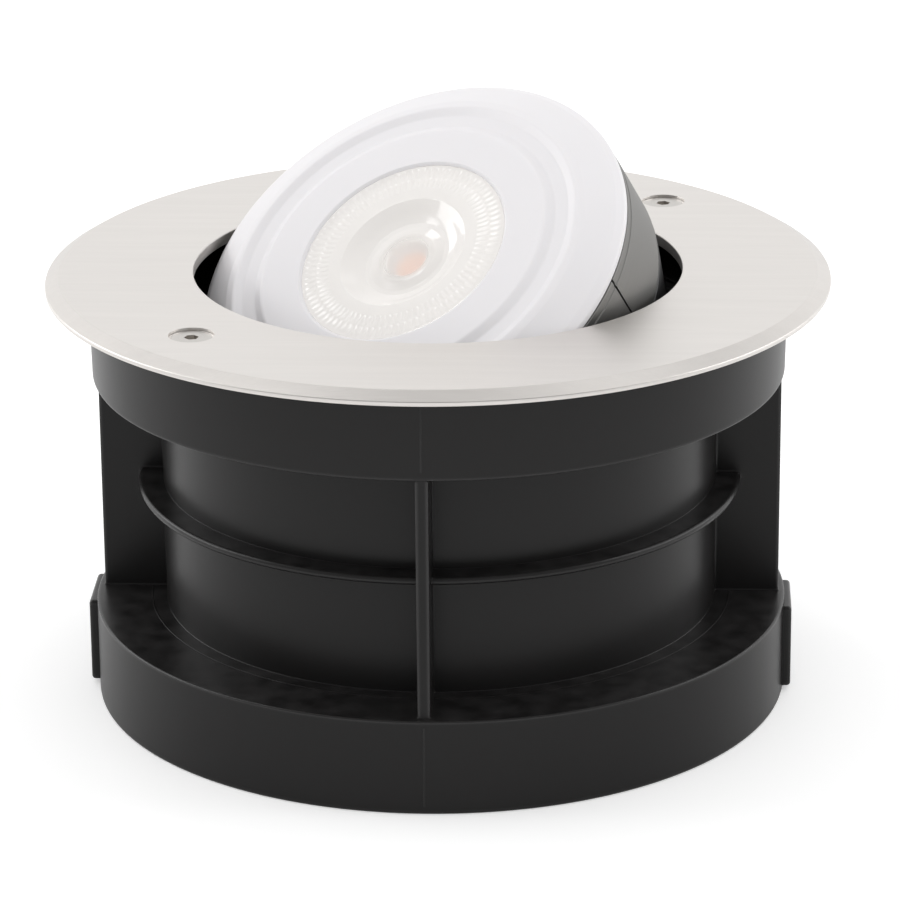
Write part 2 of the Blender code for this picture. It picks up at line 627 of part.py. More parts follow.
def build_terminal_block(parts, cutters):
    """Three-way terminal block on the base plate, with its clamping screws."""
    plastic = make_material("white_polyamide", (0.75, 0.74, 0.7), 0.45)
    brass = make_material("nickel_plated_brass", (0.72, 0.66, 0.5), 0.3, 1.0)
    bottom = PLATE_TOP_Z + GAP
    top = bottom + TERMINAL_HEIGHT
    shoulder = top - TERMINAL_SHOULDER_DROP
    wide = TERMINAL_WIDTH / 2
    narrow = TERMINAL_SHOULDER_WIDTH / 2
    outline = [(-wide, bottom), (wide, bottom), (wide, shoulder), (narrow, top)]
    outline += [(-narrow, top), (-wide, shoulder)]
    body = flat_outline("terminal_block", outline, TERMINAL_LENGTH, parts, plastic)
    place(body, location=(0, -TERMINAL_OFFSET, 0), rotation=(math.pi / 2, 0, math.pi / 2))
    bores = bmesh.new()
    wells = bmesh.new()
    height = (bottom + shoulder) / 2
    reach = wide + OVERRUN
    for pole in (-1, 0, 1):
        at = (pole * TERMINAL_PITCH, -TERMINAL_OFFSET)
        lay = Matrix.Translation((*at, height)) @ Matrix.Rotation(math.pi / 2, 4, "X")
        prism(TERMINAL_BORE_RADIUS, -reach, reach, TINY_STEPS, matrix=lay, into=bores)
        hole = TERMINAL_SCREW_RADIUS + GAP
        prism(hole, height + GAP, top + OVERRUN, TINY_STEPS, at, into=wells)
    boolean(body, from_bmesh("cut_terminal_bores", bores, cutters), "DIFFERENCE")
    boolean(body, from_bmesh("cut_terminal_wells", wells, cutters), "DIFFERENCE")
    for pole in (-1, 0, 1):
        head = top - TERMINAL_SCREW_SINK
        at = (pole * TERMINAL_PITCH, -TERMINAL_OFFSET)
        work = prism(TERMINAL_SCREW_RADIUS, head - TERMINAL_SCREW_LENGTH, head, TINY_STEPS, at)
        screw = from_bmesh(f"terminal_screw_{pole + 2}", work, parts, brass)
        reach = TERMINAL_SCREW_RADIUS + OVERRUN
        low = (at[0] - reach, at[1] - TERMINAL_SCREW_SLOT / 2, head - TERMINAL_SCREW_SLOT)
        high = (at[0] + reach, at[1] + TERMINAL_SCREW_SLOT / 2, head + OVERRUN)
        slot = from_bmesh(f"cut_terminal_slot_{pole + 2}", block(low, high), cutters)
        boolean(screw, slot, "DIFFERENCE")


def build_cover_ring(parts, cutters):
    """Brushed steel cover ring: bevelled rim, rebate for the seal and two countersinks."""
    steel = make_material("brushed_stainless_steel", (0.73, 0.72, 0.7), 0.3, 1.0)
    hole_edge = RING_HOLE_RADIUS + RING_HOLE_EDGE
    profile = [(RING_RADIUS - RING_BEVEL_WIDTH, RING_TOP_Z)]
    profile += [(RING_RADIUS, RING_TOP_Z - RING_BEVEL_DROP), (RING_RADIUS, RING_UNDER_Z)]
    rebate = BAND_RADIUS + RING_REBATE_MARGIN
    profile += [(rebate, RING_UNDER_Z), (rebate, RING_UNDER_Z + RING_REBATE)]
    profile += [(RING_HOLE_RADIUS, RING_UNDER_Z + RING_REBATE)]
    profile += [(RING_HOLE_RADIUS, RING_TOP_Z - RING_HOLE_EDGE)]
    profile += [(hole_edge, RING_TOP_Z)]
    ring = turned("cover_ring", profile, FINE_STEPS, parts, steel)
    wide = RING_SCREW_HEAD_RADIUS + GAP
    narrow = RING_SCREW_RADIUS + GAP
    through = RING_THICKNESS + OVERRUN
    for index, at in enumerate(ring_screw_places()):
        sink = [(0, OVERRUN), (wide, OVERRUN), (wide, 0), (narrow, -RING_SCREW_HEAD_DEPTH)]
        sink += [(narrow, -through), (0, -through)]
        cutter = turned(f"cut_ring_sink_{index + 1}", sink, SMALL_STEPS, cutters)
        place(cutter, location=(*at, RING_TOP_Z))
        boolean(ring, cutter, "DIFFERENCE")
        shape = screw_profile(
            RING_SCREW_HEAD_RADIUS, RING_SCREW_HEAD_DEPTH, RING_SCREW_RADIUS, RING_SCREW_LENGTH
        )
        screw = turned(f"ring_screw_{index + 1}", shape, SMALL_STEPS, parts, steel)
        place(screw, location=(*at, RING_TOP_Z))
        corner = RING_SCREW_SOCKET / math.cos(math.pi / HEX_STEPS)
        bottom = RING_TOP_Z - RING_SCREW_SOCKET_DEPTH
        work = prism(corner, bottom, RING_TOP_Z + OVERRUN, HEX_STEPS, at)
        boolean(screw, from_bmesh(f"cut_ring_socket_{index + 1}", work, cutters), "DIFFERENCE")


def build_ring_seat(parts, cutters):
    """Rubber gasket under the ring, and the brass inserts that its screws turn into."""
    rubber = make_material("epdm_rubber", (0.03, 0.03, 0.03), 0.75)
    brass = make_material("insert_brass", (0.7, 0.55, 0.28), 0.35, 1.0)
    bottom = POT_HEIGHT + GAP
    top = bottom + GASKET_THICKNESS + RING_REBATE
    inner = UPPER_WELL_RADIUS + GASKET_INSET
    outer = BAND_RADIUS - GASKET_INSET
    profile = [(outer, top), (outer, bottom), (inner, bottom), (inner, top)]
    gasket = turned("ring_gasket", profile, FINE_STEPS, parts, rubber)
    holes = bmesh.new()
    for at in ring_screw_places():
        reach = (bottom - OVERRUN, top + OVERRUN)
        prism(INSERT_HOLE_RADIUS, *reach, SMALL_STEPS, at, into=holes)
    boolean(gasket, from_bmesh("cut_gasket_holes", holes, cutters), "DIFFERENCE")
    half = INSERT_LENGTH / 2
    waist = INSERT_RADIUS - INSERT_GROOVE
    shape = [(INSERT_RADIUS, 0), (INSERT_RADIUS, -half + INSERT_WAIST_HALF), (waist, -half + INSERT_GROOVE)]
    shape += [(waist, -half - INSERT_GROOVE), (INSERT_RADIUS, -half - INSERT_WAIST_HALF)]
    shape += [(INSERT_RADIUS, -INSERT_LENGTH), (INSERT_BORE_RADIUS, -INSERT_LENGTH)]
    shape += [(INSERT_BORE_RADIUS, 0)]
    for index, at in enumerate(ring_screw_places()):
        insert = turned(f"threaded_insert_{index + 1}", shape, SMALL_STEPS, parts, brass)
        place(insert, location=(*at, POT_HEIGHT))


def build_snap_ring(parts, cutters):
    """Open spring ring in the well's groove, which keeps the swivel frame on its step."""
    steel = make_material("spring_steel", (0.35, 0.35, 0.36), 0.35, 1.0)
    inner = SNAP_RADIUS - SNAP_WIDTH
    bottom = SNAP_BOTTOM_Z
    top = bottom + SNAP_THICKNESS
    profile = [(SNAP_RADIUS, top), (SNAP_RADIUS, bottom), (inner, bottom), (inner, top)]
    ring = turned("snap_ring", profile, FINE_STEPS, parts, steel)
    half = SNAP_OPENING / 2
    reach = (bottom - OVERRUN, top + OVERRUN)
    work = block((-half, inner - OVERRUN, reach[0]), (half, SNAP_RADIUS + OVERRUN, reach[1]))
    middle = SNAP_RADIUS - SNAP_WIDTH / 2
    for side in (-1, 1):
        at = (side * (half + SNAP_EYE_INSET), middle)
        prism(SNAP_EYE_RADIUS, *reach, TINY_STEPS, at, into=work)
    boolean(ring, from_bmesh("cut_snap_opening", work, cutters), "DIFFERENCE")


def ear_outline():
    """Ear of the swivel frame, seen along the tilt axis: a wide foot and a round head."""
    foot = FRAME_BOTTOM_Z - PIVOT_Z + FRAME_THICKNESS / 2
    outline = [(-EAR_FOOT_HALF_WIDTH, foot), (EAR_FOOT_HALF_WIDTH, foot)]
    outline += [(EAR_FOOT_HALF_WIDTH, foot + FRAME_THICKNESS)]
    outline += arc((0, 0), EAR_RADIUS, *EAR_HEAD_ANGLES, EAR_HEAD_STEPS)
    outline += [(-EAR_FOOT_HALF_WIDTH, foot + FRAME_THICKNESS)]
    return outline


def build_swivel_frame(parts, cutters, pan_axis):
    """Steel ring that turns on the pot's step, with two ears that carry the tilt pivots."""
    steel = make_material("black_coated_steel", (0.04, 0.04, 0.042), 0.45, 0.4)
    bottom = FRAME_BOTTOM_Z - PIVOT_Z
    top = bottom + FRAME_THICKNESS
    profile = [(FRAME_RADIUS, top), (FRAME_RADIUS, bottom)]
    profile += [(FRAME_INNER_RADIUS, bottom), (FRAME_INNER_RADIUS, top)]
    frame = turned("swivel_frame", profile, FINE_STEPS, parts, steel)
    place(frame, pan_axis)
    bores = bmesh.new()
    for side in (-1, 1):
        ear = flat_outline(f"cut_frame_ear_{side + 2}", ear_outline(), EAR_THICKNESS, cutters)
        boolean(frame, ear, "UNION")
        middle = side * (EAR_INNER + EAR_THICKNESS / 2)
        place(ear, pan_axis, (0, middle, 0), (math.pi / 2, 0, 0))
        lay = Matrix.Translation((0, middle, 0)) @ Matrix.Rotation(math.pi / 2, 4, "X")
        reach = EAR_THICKNESS
        prism(STUD_RADIUS + GAP, -reach, reach, SMALL_STEPS, matrix=lay, into=bores)
    boolean(frame, from_bmesh("cut_frame_bores", bores, cutters), "DIFFERENCE")


def build_pivots(parts, cutters, tilt_axis):
    """Shouldered studs on the sleeve, and the washers and nuts that clamp the ears."""
    steel = make_material("bright_steel", (0.55, 0.55, 0.56), 0.3, 1.0)
    start = LAMP_RADIUS + GAP
    flange = start + STUD_FLANGE_THICKNESS
    shoulder = EAR_INNER - GAP
    stud_shape = [(0, STUD_END), (STUD_RADIUS, STUD_END), (STUD_RADIUS, shoulder)]
    stud_shape += [(STUD_SHOULDER_RADIUS, shoulder), (STUD_SHOULDER_RADIUS, flange)]
    stud_shape += [(STUD_FLANGE_RADIUS, flange), (STUD_FLANGE_RADIUS, start), (0, start)]
    hole = STUD_RADIUS + GAP
    washer_top = WASHER_INNER + WASHER_THICKNESS
    washer_shape = [(WASHER_RADIUS, washer_top), (WASHER_RADIUS, WASHER_INNER)]
    washer_shape += [(hole, WASHER_INNER), (hole, washer_top)]
    for index, side in enumerate((1, -1)):
        turn = (-side * math.pi / 2, 0, 0)
        stud = turned(f"pivot_stud_{index + 1}", stud_shape, SMALL_STEPS, parts, steel)
        place(stud, tilt_axis, rotation=turn)
        washer = turned(f"pivot_washer_{index + 1}", washer_shape, SMALL_STEPS, parts, steel)
        place(washer, tilt_axis, rotation=turn)
        work = prism(NUT_CORNER_RADIUS, NUT_INNER, NUT_OUTER, HEX_STEPS)
        nut = from_bmesh(f"pivot_nut_{index + 1}", work, parts, steel)
        place(nut, tilt_axis, rotation=turn)
        bore = prism(hole, NUT_INNER - OVERRUN, NUT_OUTER + OVERRUN, TINY_STEPS)
        cutter = from_bmesh(f"cut_nut_bore_{index + 1}", bore, cutters)
        boolean(nut, cutter, "DIFFERENCE")
        place(cutter, tilt_axis, rotation=turn)


def build_sleeve(parts, cutters, tilt_axis):
    """Rolled steel sleeve round the lamp, split along one line, with a groove near its front."""
    steel = make_material("satin_grey_steel", (0.3, 0.3, 0.29), 0.38, 0.9)
    groove_top = SLEEVE_FRONT_T - SLEEVE_GROOVE_INSET
    groove_bottom = groove_top - SLEEVE_GROOVE_WIDTH
    groove_radius = LAMP_RADIUS - SLEEVE_GROOVE_DEPTH
    profile = [(LAMP_RADIUS, SLEEVE_FRONT_T), (LAMP_RADIUS, groove_top)]
    profile += [(groove_radius, groove_top), (groove_radius, groove_bottom)]
    profile += [(LAMP_RADIUS, groove_bottom), (LAMP_RADIUS, SLEEVE_BACK_T)]
    profile += [(SLEEVE_INNER_RADIUS, SLEEVE_BACK_T), (SLEEVE_INNER_RADIUS, SLEEVE_FRONT_T)]
    sleeve = turned("lamp_sleeve", profile, FINE_STEPS, parts, steel)
    place(sleeve, tilt_axis)
    low = (SLEEVE_INNER_RADIUS - OVERRUN, -SLEEVE_SPLIT_WIDTH / 2, SLEEVE_BACK_T - OVERRUN)
    high = (LAMP_RADIUS + OVERRUN, SLEEVE_SPLIT_WIDTH / 2, SLEEVE_FRONT_T + OVERRUN)
    work = block(low, high, spin(SPLIT_AZIMUTH))
    boolean(sleeve, from_bmesh("cut_sleeve_split", work, cutters), "DIFFERENCE")


def sink_profile():
    """Section of the heat sink: a deck for the board, a cup wall, a taper and a rear neck."""
    deck_under = DECK_T - DECK_THICKNESS
    deck_radius = CUP_RADIUS - BODY_WALL
    neck_bore = NECK_RADIUS - BODY_WALL
    back_inner = BACK_T + BODY_WALL
    profile = [(0, DECK_T), (deck_radius, DECK_T), (deck_radius, SEAT_T), (CUP_RADIUS, SEAT_T)]
    profile += [(CUP_RADIUS, BODY_STEP_T), (LAMP_RADIUS, BODY_STEP_T)]
    profile += [(BODY_BACK_RADIUS, BODY_BACK_T), (BODY_BACK_RADIUS - BACK_ROUND, BACK_T)]
    profile += [(NECK_RADIUS, BACK_T), (NECK_RADIUS, NECK_T), (neck_bore, NECK_T)]
    profile += [(neck_bore, back_inner), (BODY_BACK_RADIUS - BODY_WALL - BACK_ROUND, back_inner)]
    profile += [(BODY_BACK_RADIUS - BODY_WALL, BODY_BACK_T + BODY_WALL)]
    profile += [(deck_radius, BODY_STEP_T), (deck_radius, deck_under), (0, deck_under)]
    return profile


def build_heat_sink(parts, cutters, tilt_axis):
    """Cast heat sink behind the sleeve, with radial fins round its neck."""
    metal = make_material("cast_aluminium", (0.25, 0.25, 0.26), 0.45, 0.8)
    sink = turned("heat_sink", sink_profile(), MEDIUM_STEPS, parts, metal)
    place(sink, tilt_axis)
    fins = bmesh.new()
    inner = NECK_RADIUS - OVERRUN
    outer = BODY_BACK_RADIUS - BACK_ROUND - OVERRUN
    for index in range(SINK_FIN_COUNT):
        low = (inner, -SINK_FIN_THICKNESS / 2, BACK_T - SINK_FIN_DEPTH)
        high = (outer, SINK_FIN_THICKNESS / 2, BACK_T + OVERRUN)
        made = block(low, high, into=bmesh.new())
        for corner in made.verts:
            if corner.co.x > NECK_RADIUS and corner.co.z < BACK_T:
                corner.co.x -= SINK_FIN_TAPER
        made.transform(spin((index + 0.5) * 360 / SINK_FIN_COUNT))
        piece = bpy.data.meshes.new("fin")
        made.to_mesh(piece)
        made.free()
        fins.from_mesh(piece)
        bpy.data.meshes.remove(piece)
    boolean(sink, from_bmesh("cut_sink_fins", fins, cutters), "UNION")
    holes = bmesh.new()
    for side in (-1, 1):
        reach = (DECK_T - DECK_THICKNESS - OVERRUN, DECK_T + OVERRUN)
        at = (side * BOARD_SCREW_CIRCLE, 0)
        prism(BOARD_SCREW_RADIUS + GAP, *reach, TINY_STEPS, at, into=holes)
    boolean(sink, from_bmesh("cut_sink_holes", holes, cutters), "DIFFERENCE")


def build_light_source(parts, cutters, tilt_axis):
    """Metal-core board, light-emitting chip and the two screws that hold the board."""
    white = make_material("white_board", (0.8, 0.8, 0.78), 0.5)
    phosphor = make_material("phosphor", (0.85, 0.45, 0.2), 0.5)
    steel = make_material("screw_steel", (0.6, 0.6, 0.6), 0.35, 1.0)
    bottom = DECK_T + GAP
    top = bottom + BOARD_THICKNESS
    work = prism(BOARD_RADIUS, bottom, top, MEDIUM_STEPS)
    board = place(from_bmesh("led_board", work, parts, white), tilt_axis)
    holes = bmesh.new()
    for side in (-1, 1):
        at = (side * BOARD_SCREW_CIRCLE, 0)
        reach = (bottom - OVERRUN, top + OVERRUN)
        prism(BOARD_SCREW_RADIUS + GAP, *reach, TINY_STEPS, at, into=holes)
    boolean(board, from_bmesh("cut_board_holes", holes, cutters), "DIFFERENCE")
    chip_bottom = top + GAP
    chip_top = chip_bottom + CHIP_THICKNESS
    dome_top = chip_top + CHIP_DOME_HEIGHT
    wide_share, high_share = CHIP_SHOULDER_SHARES
    shoulder = (CHIP_DOME_RADIUS * wide_share, chip_top + CHIP_DOME_HEIGHT * high_share)
    profile = [(0, dome_top), shoulder, (CHIP_DOME_RADIUS, chip_top), (CHIP_RADIUS, chip_top)]
    profile += [(CHIP_RADIUS, chip_bottom), (0, chip_bottom)]
    place(turned("led_chip", profile, SMALL_STEPS, parts, phosphor), tilt_axis)
    for index, side in enumerate((-1, 1)):
        head_bottom = top + GAP
        head_top = head_bottom + BOARD_SCREW_HEAD_HEIGHT
        tip = DECK_T - DECK_THICKNESS
        shape = [(0, head_top), (BOARD_SCREW_HEAD_RADIUS, head_top)]
        shape += [(BOARD_SCREW_HEAD_RADIUS, head_bottom), (BOARD_SCREW_RADIUS, head_bottom)]
        shape += [(BOARD_SCREW_RADIUS, tip), (0, tip)]
        screw = turned(f"board_screw_{index + 1}", shape, TINY_STEPS, parts, steel)
        place(screw, tilt_axis, (side * BOARD_SCREW_CIRCLE, 0, 0))


def cover_profile():
    """Section of the diffusing cover: a domed disc with a groove, open in the middle."""
    plateau = RIM_AHEAD + COVER_RISE
    hole = LENS_RADIUS + GAP
    groove_out = LAMP_RADIUS - GROOVE_OUTER_INSET
    groove_in = groove_out - GROOVE_WIDTH
    soft = GROOVE_WIDTH * GROOVE_SLOPE_SHARE
    slope = LAMP_RADIUS - COVER_SLOPE_WIDTH
    edge = COVER_THICKNESS / 2
    under = COVER_THICKNESS
    profile = [(hole, plateau), (groove_in - soft, plateau), (groove_in + soft, plateau - GROOVE_DEPTH)]
    profile += [(groove_out - soft, plateau - GROOVE_DEPTH), (groove_out, plateau - GROOVE_DEPTH / 2)]
    profile += [(slope, plateau - GROOVE_DEPTH), (LAMP_RADIUS - 2 * edge, RIM_AHEAD + edge)]
    profile += [(LAMP_RADIUS, RIM_AHEAD - edge / 2), (LAMP_RADIUS, SEAT_T + GAP)]
    profile += [(LAMP_RADIUS - 2 * under, SEAT_T + GAP), (slope - under, plateau - under - GROOVE_DEPTH)]
    profile += [(groove_out, plateau - under - GROOVE_DEPTH), (groove_in, plateau - under - GROOVE_DEPTH)]
    profile += [(hole, plateau - under - GROOVE_DEPTH)]
    return profile


def lens_profile():
    """Section of the clear lens: a fluted flange, a sunk bowl and a conical body over the chip."""
    face = RIM_AHEAD + COVER_RISE - LENS_RECESS
    bowl = face - LENS_BOWL_DEPTH
    crown = bowl + LENS_BOWL_CROWN
    flange = face - LENS_FLANGE
    foot = DECK_T + BOARD_THICKNESS + CHIP_THICKNESS + CHIP_DOME_HEIGHT + 3 * GAP
    roof = foot + LENS_CAVITY_DEPTH
    rim_inner = LENS_BOWL_RADIUS + LENS_BOWL_CROWN / 2
    profile = [(0, crown), (LENS_BOWL_RADIUS * LENS_CROWN_SHARE, (crown + bowl) / 2), (LENS_BOWL_RADIUS, bowl)]
    profile += [(rim_inner, face), (LENS_RADIUS, face), (LENS_RADIUS, flange)]
    profile += [(LENS_RADIUS - LENS_FLANGE, flange), (LENS_FOOT_RADIUS, foot)]
    profile += [(LENS_CAVITY_RADIUS, foot), (LENS_CAVITY_RADIUS - GAP, roof), (0, roof)]
    return profile


def build_front(parts, tilt_axis):
    """Diffusing cover and lens."""
    diffuser = make_material("opal_polycarbonate", (0.83, 0.83, 0.87), 0.35)
    clear = make_material("clear_acrylic", (0.85, 0.82, 0.78), 0.08, alpha=0.5)
    cover = turned("diffuser_cover", cover_profile(), FINE_STEPS, parts, diffuser)
    place(cover, tilt_axis)
    place(turned("lens", lens_profile(), MEDIUM_STEPS, parts, clear), tilt_axis)


def build_driver(parts, tilt_axis):
    """Driver board in the lamp's neck, with a capacitor and a choke."""
    resin = make_material("green_board", (0.05, 0.2, 0.08), 0.4)
    can = make_material("capacitor_can", (0.1, 0.1, 0.13), 0.35)
    ferrite = make_material("ferrite", (0.12, 0.11, 0.1), 0.6)
    half_width = math.sqrt((BASE_BORE_RADIUS - GAP) ** 2 - (DRIVER_THICKNESS / 2) ** 2)
    bottom = BASE_FRONT_T - BASE_LENGTH / 2
    top = bottom + DRIVER_LENGTH
    half = DRIVER_THICKNESS / 2
    work = block((-half_width, -half, bottom), (half_width, half, top))
    place(from_bmesh("driver_board", work, parts, resin), tilt_axis)
    can_top = top - GAP
    side = half + GAP + CAPACITOR_RADIUS
    bottom_of_can = can_top - CAPACITOR_LENGTH
    work = prism(CAPACITOR_RADIUS, bottom_of_can, can_top, SMALL_STEPS, (0, side))
    place(from_bmesh("driver_capacitor", work, parts, can), tilt_axis)
    low = (-CHOKE_SIZE / 2, -half - GAP - CHOKE_HEIGHT, can_top - CHOKE_SIZE)
    work = block(low, (CHOKE_SIZE / 2, -half - GAP, can_top))
    place(bevel(from_bmesh("driver_choke", work, parts, ferrite), CHOKE_EDGE), tilt_axis)


def build_base(parts, cutters, tilt_axis):
    """Plastic base of the lamp with its two contact pins, and the lampholder pushed on them."""
    plastic = make_material("grey_base_plastic", (0.55, 0.55, 0.54), 0.45)
    nickel = make_material("contact_nickel", (0.65, 0.62, 0.56), 0.25, 1.0)
    ceramic = make_material("steatite_ceramic", (0.78, 0.76, 0.7), 0.3)
    shell = make_material("holder_cover_plastic", (0.6, 0.59, 0.56), 0.5)
    straight = BASE_BACK_T + BASE_STRAIGHT
    floor = BASE_BACK_T + BASE_WALL
    profile = [(BASE_BORE_RADIUS, BASE_FRONT_T), (NECK_RADIUS, BASE_FRONT_T)]
    profile += [(BASE_RADIUS, straight), (BASE_RADIUS, BASE_BACK_T), (0, BASE_BACK_T)]
    profile = [(0, floor), (BASE_BORE_RADIUS, floor)] + profile
    base = turned("lamp_base", profile, MEDIUM_STEPS, parts, plastic)
    place(base, tilt_axis)
    stem_holes = bmesh.new()
    socket = bmesh.new()
    stem_top = floor - GAP
    neck = BASE_BACK_T - PIN_LENGTH + PIN_HEAD_LENGTH
    tip = BASE_BACK_T - PIN_LENGTH
    stem = [(0, stem_top), (PIN_STEM_RADIUS, stem_top), (PIN_STEM_RADIUS, neck)]
    stem += [(PIN_HEAD_RADIUS, neck), (PIN_HEAD_RADIUS, tip), (0, tip)]
    for index, side in enumerate((-1, 1)):
        at = (side * PIN_SPACING / 2, 0)
        reach = (BASE_BACK_T - OVERRUN, floor + OVERRUN)
        prism(PIN_STEM_RADIUS + GAP, *reach, TINY_STEPS, at, into=stem_holes)
        reach = (tip - GAP, HOLDER_FRONT_T + OVERRUN)
        prism(PIN_HEAD_RADIUS + GAP, *reach, TINY_STEPS, at, into=socket)
        pin = turned(f"contact_pin_{index + 1}", stem, TINY_STEPS, parts, nickel)
        place(pin, tilt_axis, (*at, 0))
    boolean(base, from_bmesh("cut_base_holes", stem_holes, cutters), "DIFFERENCE")
    edge = HOLDER_EDGE
    body = [(0, HOLDER_FRONT_T), (HOLDER_RADIUS - edge, HOLDER_FRONT_T)]
    body += [(HOLDER_RADIUS, HOLDER_FRONT_T - edge), (HOLDER_RADIUS, HOLDER_BACK_T), (0, HOLDER_BACK_T)]
    holder = place(turned("lampholder", body, MEDIUM_STEPS, parts, ceramic), tilt_axis)
    boolean(holder, from_bmesh("cut_holder_sockets", socket, cutters), "DIFFERENCE")
    front = HOLDER_BACK_T - GAP
    back = front - HOLDER_COVER_LENGTH
    radius = HOLDER_RADIUS - HOLDER_COVER_INSET
    lid = [(0, front), (radius, front), (radius, back + edge), (radius - edge, back), (0, back)]
    cover = place(turned("holder_cover", lid, MEDIUM_STEPS, parts, shell), tilt_axis)
    lead_holes = bmesh.new()
    for side in (-1, 1):
        at = (0, side * PIN_SPACING / 2)
        prism(LEAD_HOLE_RADIUS, back - OVERRUN, front + OVERRUN, TINY_STEPS, at, into=lead_holes)
    boolean(cover, from_bmesh("cut_lead_holes", lead_holes, cutters), "DIFFERENCE")


def make_axes(parts):
    """Empties on the pan axis and, under it, on the tilt axis. The lamp faces +Z when upright."""
    pan_axis = bpy.data.objects.new("pan_axis", None)
    tilt_axis = bpy.data.objects.new("tilt_axis", None)
    parts.objects.link(pan_axis)
    parts.objects.link(tilt_axis)
    place(pan_axis, None, (0, 0, PIVOT_Z), (0, 0, math.radians(LEAN_AZIMUTH)))
    place(tilt_axis, pan_axis, (0, 0, 0), (0, math.radians(LEAN_ANGLE), 0))
    return pan_axis, tilt_axis


def main():
    """Build the whole ground light."""
    clear_scene()
    parts = make_collection("ground_light")
    cutters = make_collection("cutters")
    pan_axis, tilt_axis = make_axes(parts)
    build_pot(parts, cutters)
    build_base_plate(parts, cutters)
    build_cable_seals(parts)
    build_terminal_block(parts, cutters)
    build_cover_ring(parts, cutters)
    build_ring_seat(parts, cutters)
    build_snap_ring(parts, cutters)
    build_swivel_frame(parts, cutters, pan_axis)
    build_pivots(parts, cutters, tilt_axis)
    build_sleeve(parts, cutters, tilt_axis)
    build_heat_sink(parts, cutters, tilt_axis)
    build_light_source(parts, cutters, tilt_axis)
    build_front(parts, tilt_axis)
    build_driver(parts, tilt_axis)
    build_base(parts, cutters, tilt_axis)
    bpy.context.view_layer.update()


main()
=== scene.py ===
"""Looks of a recessed ground light: pot, cover ring and swivelling lamp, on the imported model.

Metres, +Z up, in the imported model's own frame. Sections are tables in millimetres: each corner has
its radius, its height and the radius of its rounding. The lamp's pieces are built upright, with +Z
along the beam and the tilt axis on Y, and are then turned to the lamp's place.
"""

import math

import bmesh
import bpy
from bpy.props import FloatProperty, FloatVectorProperty, IntProperty, PointerProperty
from mathutils import Matrix, Vector


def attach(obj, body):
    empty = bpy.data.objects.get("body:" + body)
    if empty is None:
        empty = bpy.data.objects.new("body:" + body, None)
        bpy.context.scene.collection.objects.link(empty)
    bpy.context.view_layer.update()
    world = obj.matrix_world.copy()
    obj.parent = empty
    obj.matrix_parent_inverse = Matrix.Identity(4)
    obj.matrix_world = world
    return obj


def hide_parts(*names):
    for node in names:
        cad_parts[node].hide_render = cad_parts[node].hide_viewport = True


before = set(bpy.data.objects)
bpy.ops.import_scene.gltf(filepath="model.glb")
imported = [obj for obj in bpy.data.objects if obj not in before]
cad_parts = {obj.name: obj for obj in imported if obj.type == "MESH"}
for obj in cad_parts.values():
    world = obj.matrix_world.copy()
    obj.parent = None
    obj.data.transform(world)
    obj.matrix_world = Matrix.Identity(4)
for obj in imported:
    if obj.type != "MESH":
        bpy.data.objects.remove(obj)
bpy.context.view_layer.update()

bl_info = {
    "name": "Ground light",
    "version": (1, 0, 0),
    "blender": (4, 5, 0),
    "location": "3D View > Sidebar > Ground light",
    "description": "Builds the pieces, materials and studio of a recessed ground light",
    "category": "Object",
}

MM = 0.001

# The lamp's place: its tilt axis is level and crosses the pot's axis
PIVOT = Vector((0.0, 0.0, 0.0964))
LEAN_AZIMUTH = math.radians(232.3)
LEAN_ANGLE = math.radians(37.1)

# Fineness of turned forms, in steps round the axis and in steps over a quarter turn of an edge
LARGE_STEPS = 288
MEDIUM_STEPS = 144
SMALL_STEPS = 64
EDGE_STEPS = 4
HOLE_STEPS = 48
PIN_STEPS = 32
PLATE_EDGE_STEPS = 2
SHARP = math.radians(38.0)

# Limits of the modelling
NEARLY_STRAIGHT = math.radians(89.0)  # half the angle of a corner that needs no rounding
EDGE_LEFT = 0.02  # straight millimetres that two roundings leave between them
ON_AXIS = 0.001 * MM  # a point nearer to the axis lies on it
LEVEL_WITHIN = 0.01 * MM  # an edge that rises less is level
OVERSHOOT = 1.0  # millimetres that a cutter reaches past a surface
LARGE_FACE_WEIGHT = 60  # how much large faces decide the shading

# Pot: section, and where fins, pads, bosses and holes sit
POT_SECTION = (
    (84.68, 102.0, 0.3), (84.28, 82.26, 0.5), (67.88, 82.26, 0.3), (67.88, 54.7, 0.12),
    (73.88, 54.7, 0.95), (73.88, 52.7, 0.95), (67.88, 52.7, 0.12), (67.88, 23.5, 0.22),
    (71.25, 23.5, 0.04), (71.36, 23.58, 0.06), (71.62, 23.58, 0.06), (71.73, 23.5, 0.04),
    (85.18, 23.5, 0.45), (85.18, 0.0, 0.7), (82.18, 0.0, 0.3), (82.18, 20.5, 0.8),
    (64.88, 20.5, 0.4), (64.88, 85.26, 0.4), (69.48, 85.26, 0.2), (69.48, 88.21, 0.12),
    (70.58, 88.21, 0.12), (70.58, 90.16, 0.12), (69.48, 90.16, 0.12), (69.48, 102.0, 0.3),
    (72.48, 102.0, 0.3), (72.48, 85.26, 0.4), (81.68, 85.26, 0.4), (81.68, 102.0, 0.3),
)
POT_TOP = 102.0
WALL_RADIUS = 67.88
SHELF_HEIGHT = 23.5
BAND_HEIGHT = 82.26
COVE_RADIUS = 0.3
RIB_HEIGHT = 53.7
RIB_NOSE_RADIUS = 72.93
RIB_HALF = 0.95
FIN_EDGE_RADIUS = 83.58
FIN_FLARE_LIMIT = 0.6
FIN_RADII = (
    66.9, 67.6, 67.9, 68.1, 68.3, 68.6, 69.0, 69.5, 70.0, 70.6, 71.2, 71.8, 72.4, 72.9, 73.3,
    73.6, 73.9, 74.2, 74.5, 74.8, 75.4, 77.0, 80.0, 82.2, 82.8,
)
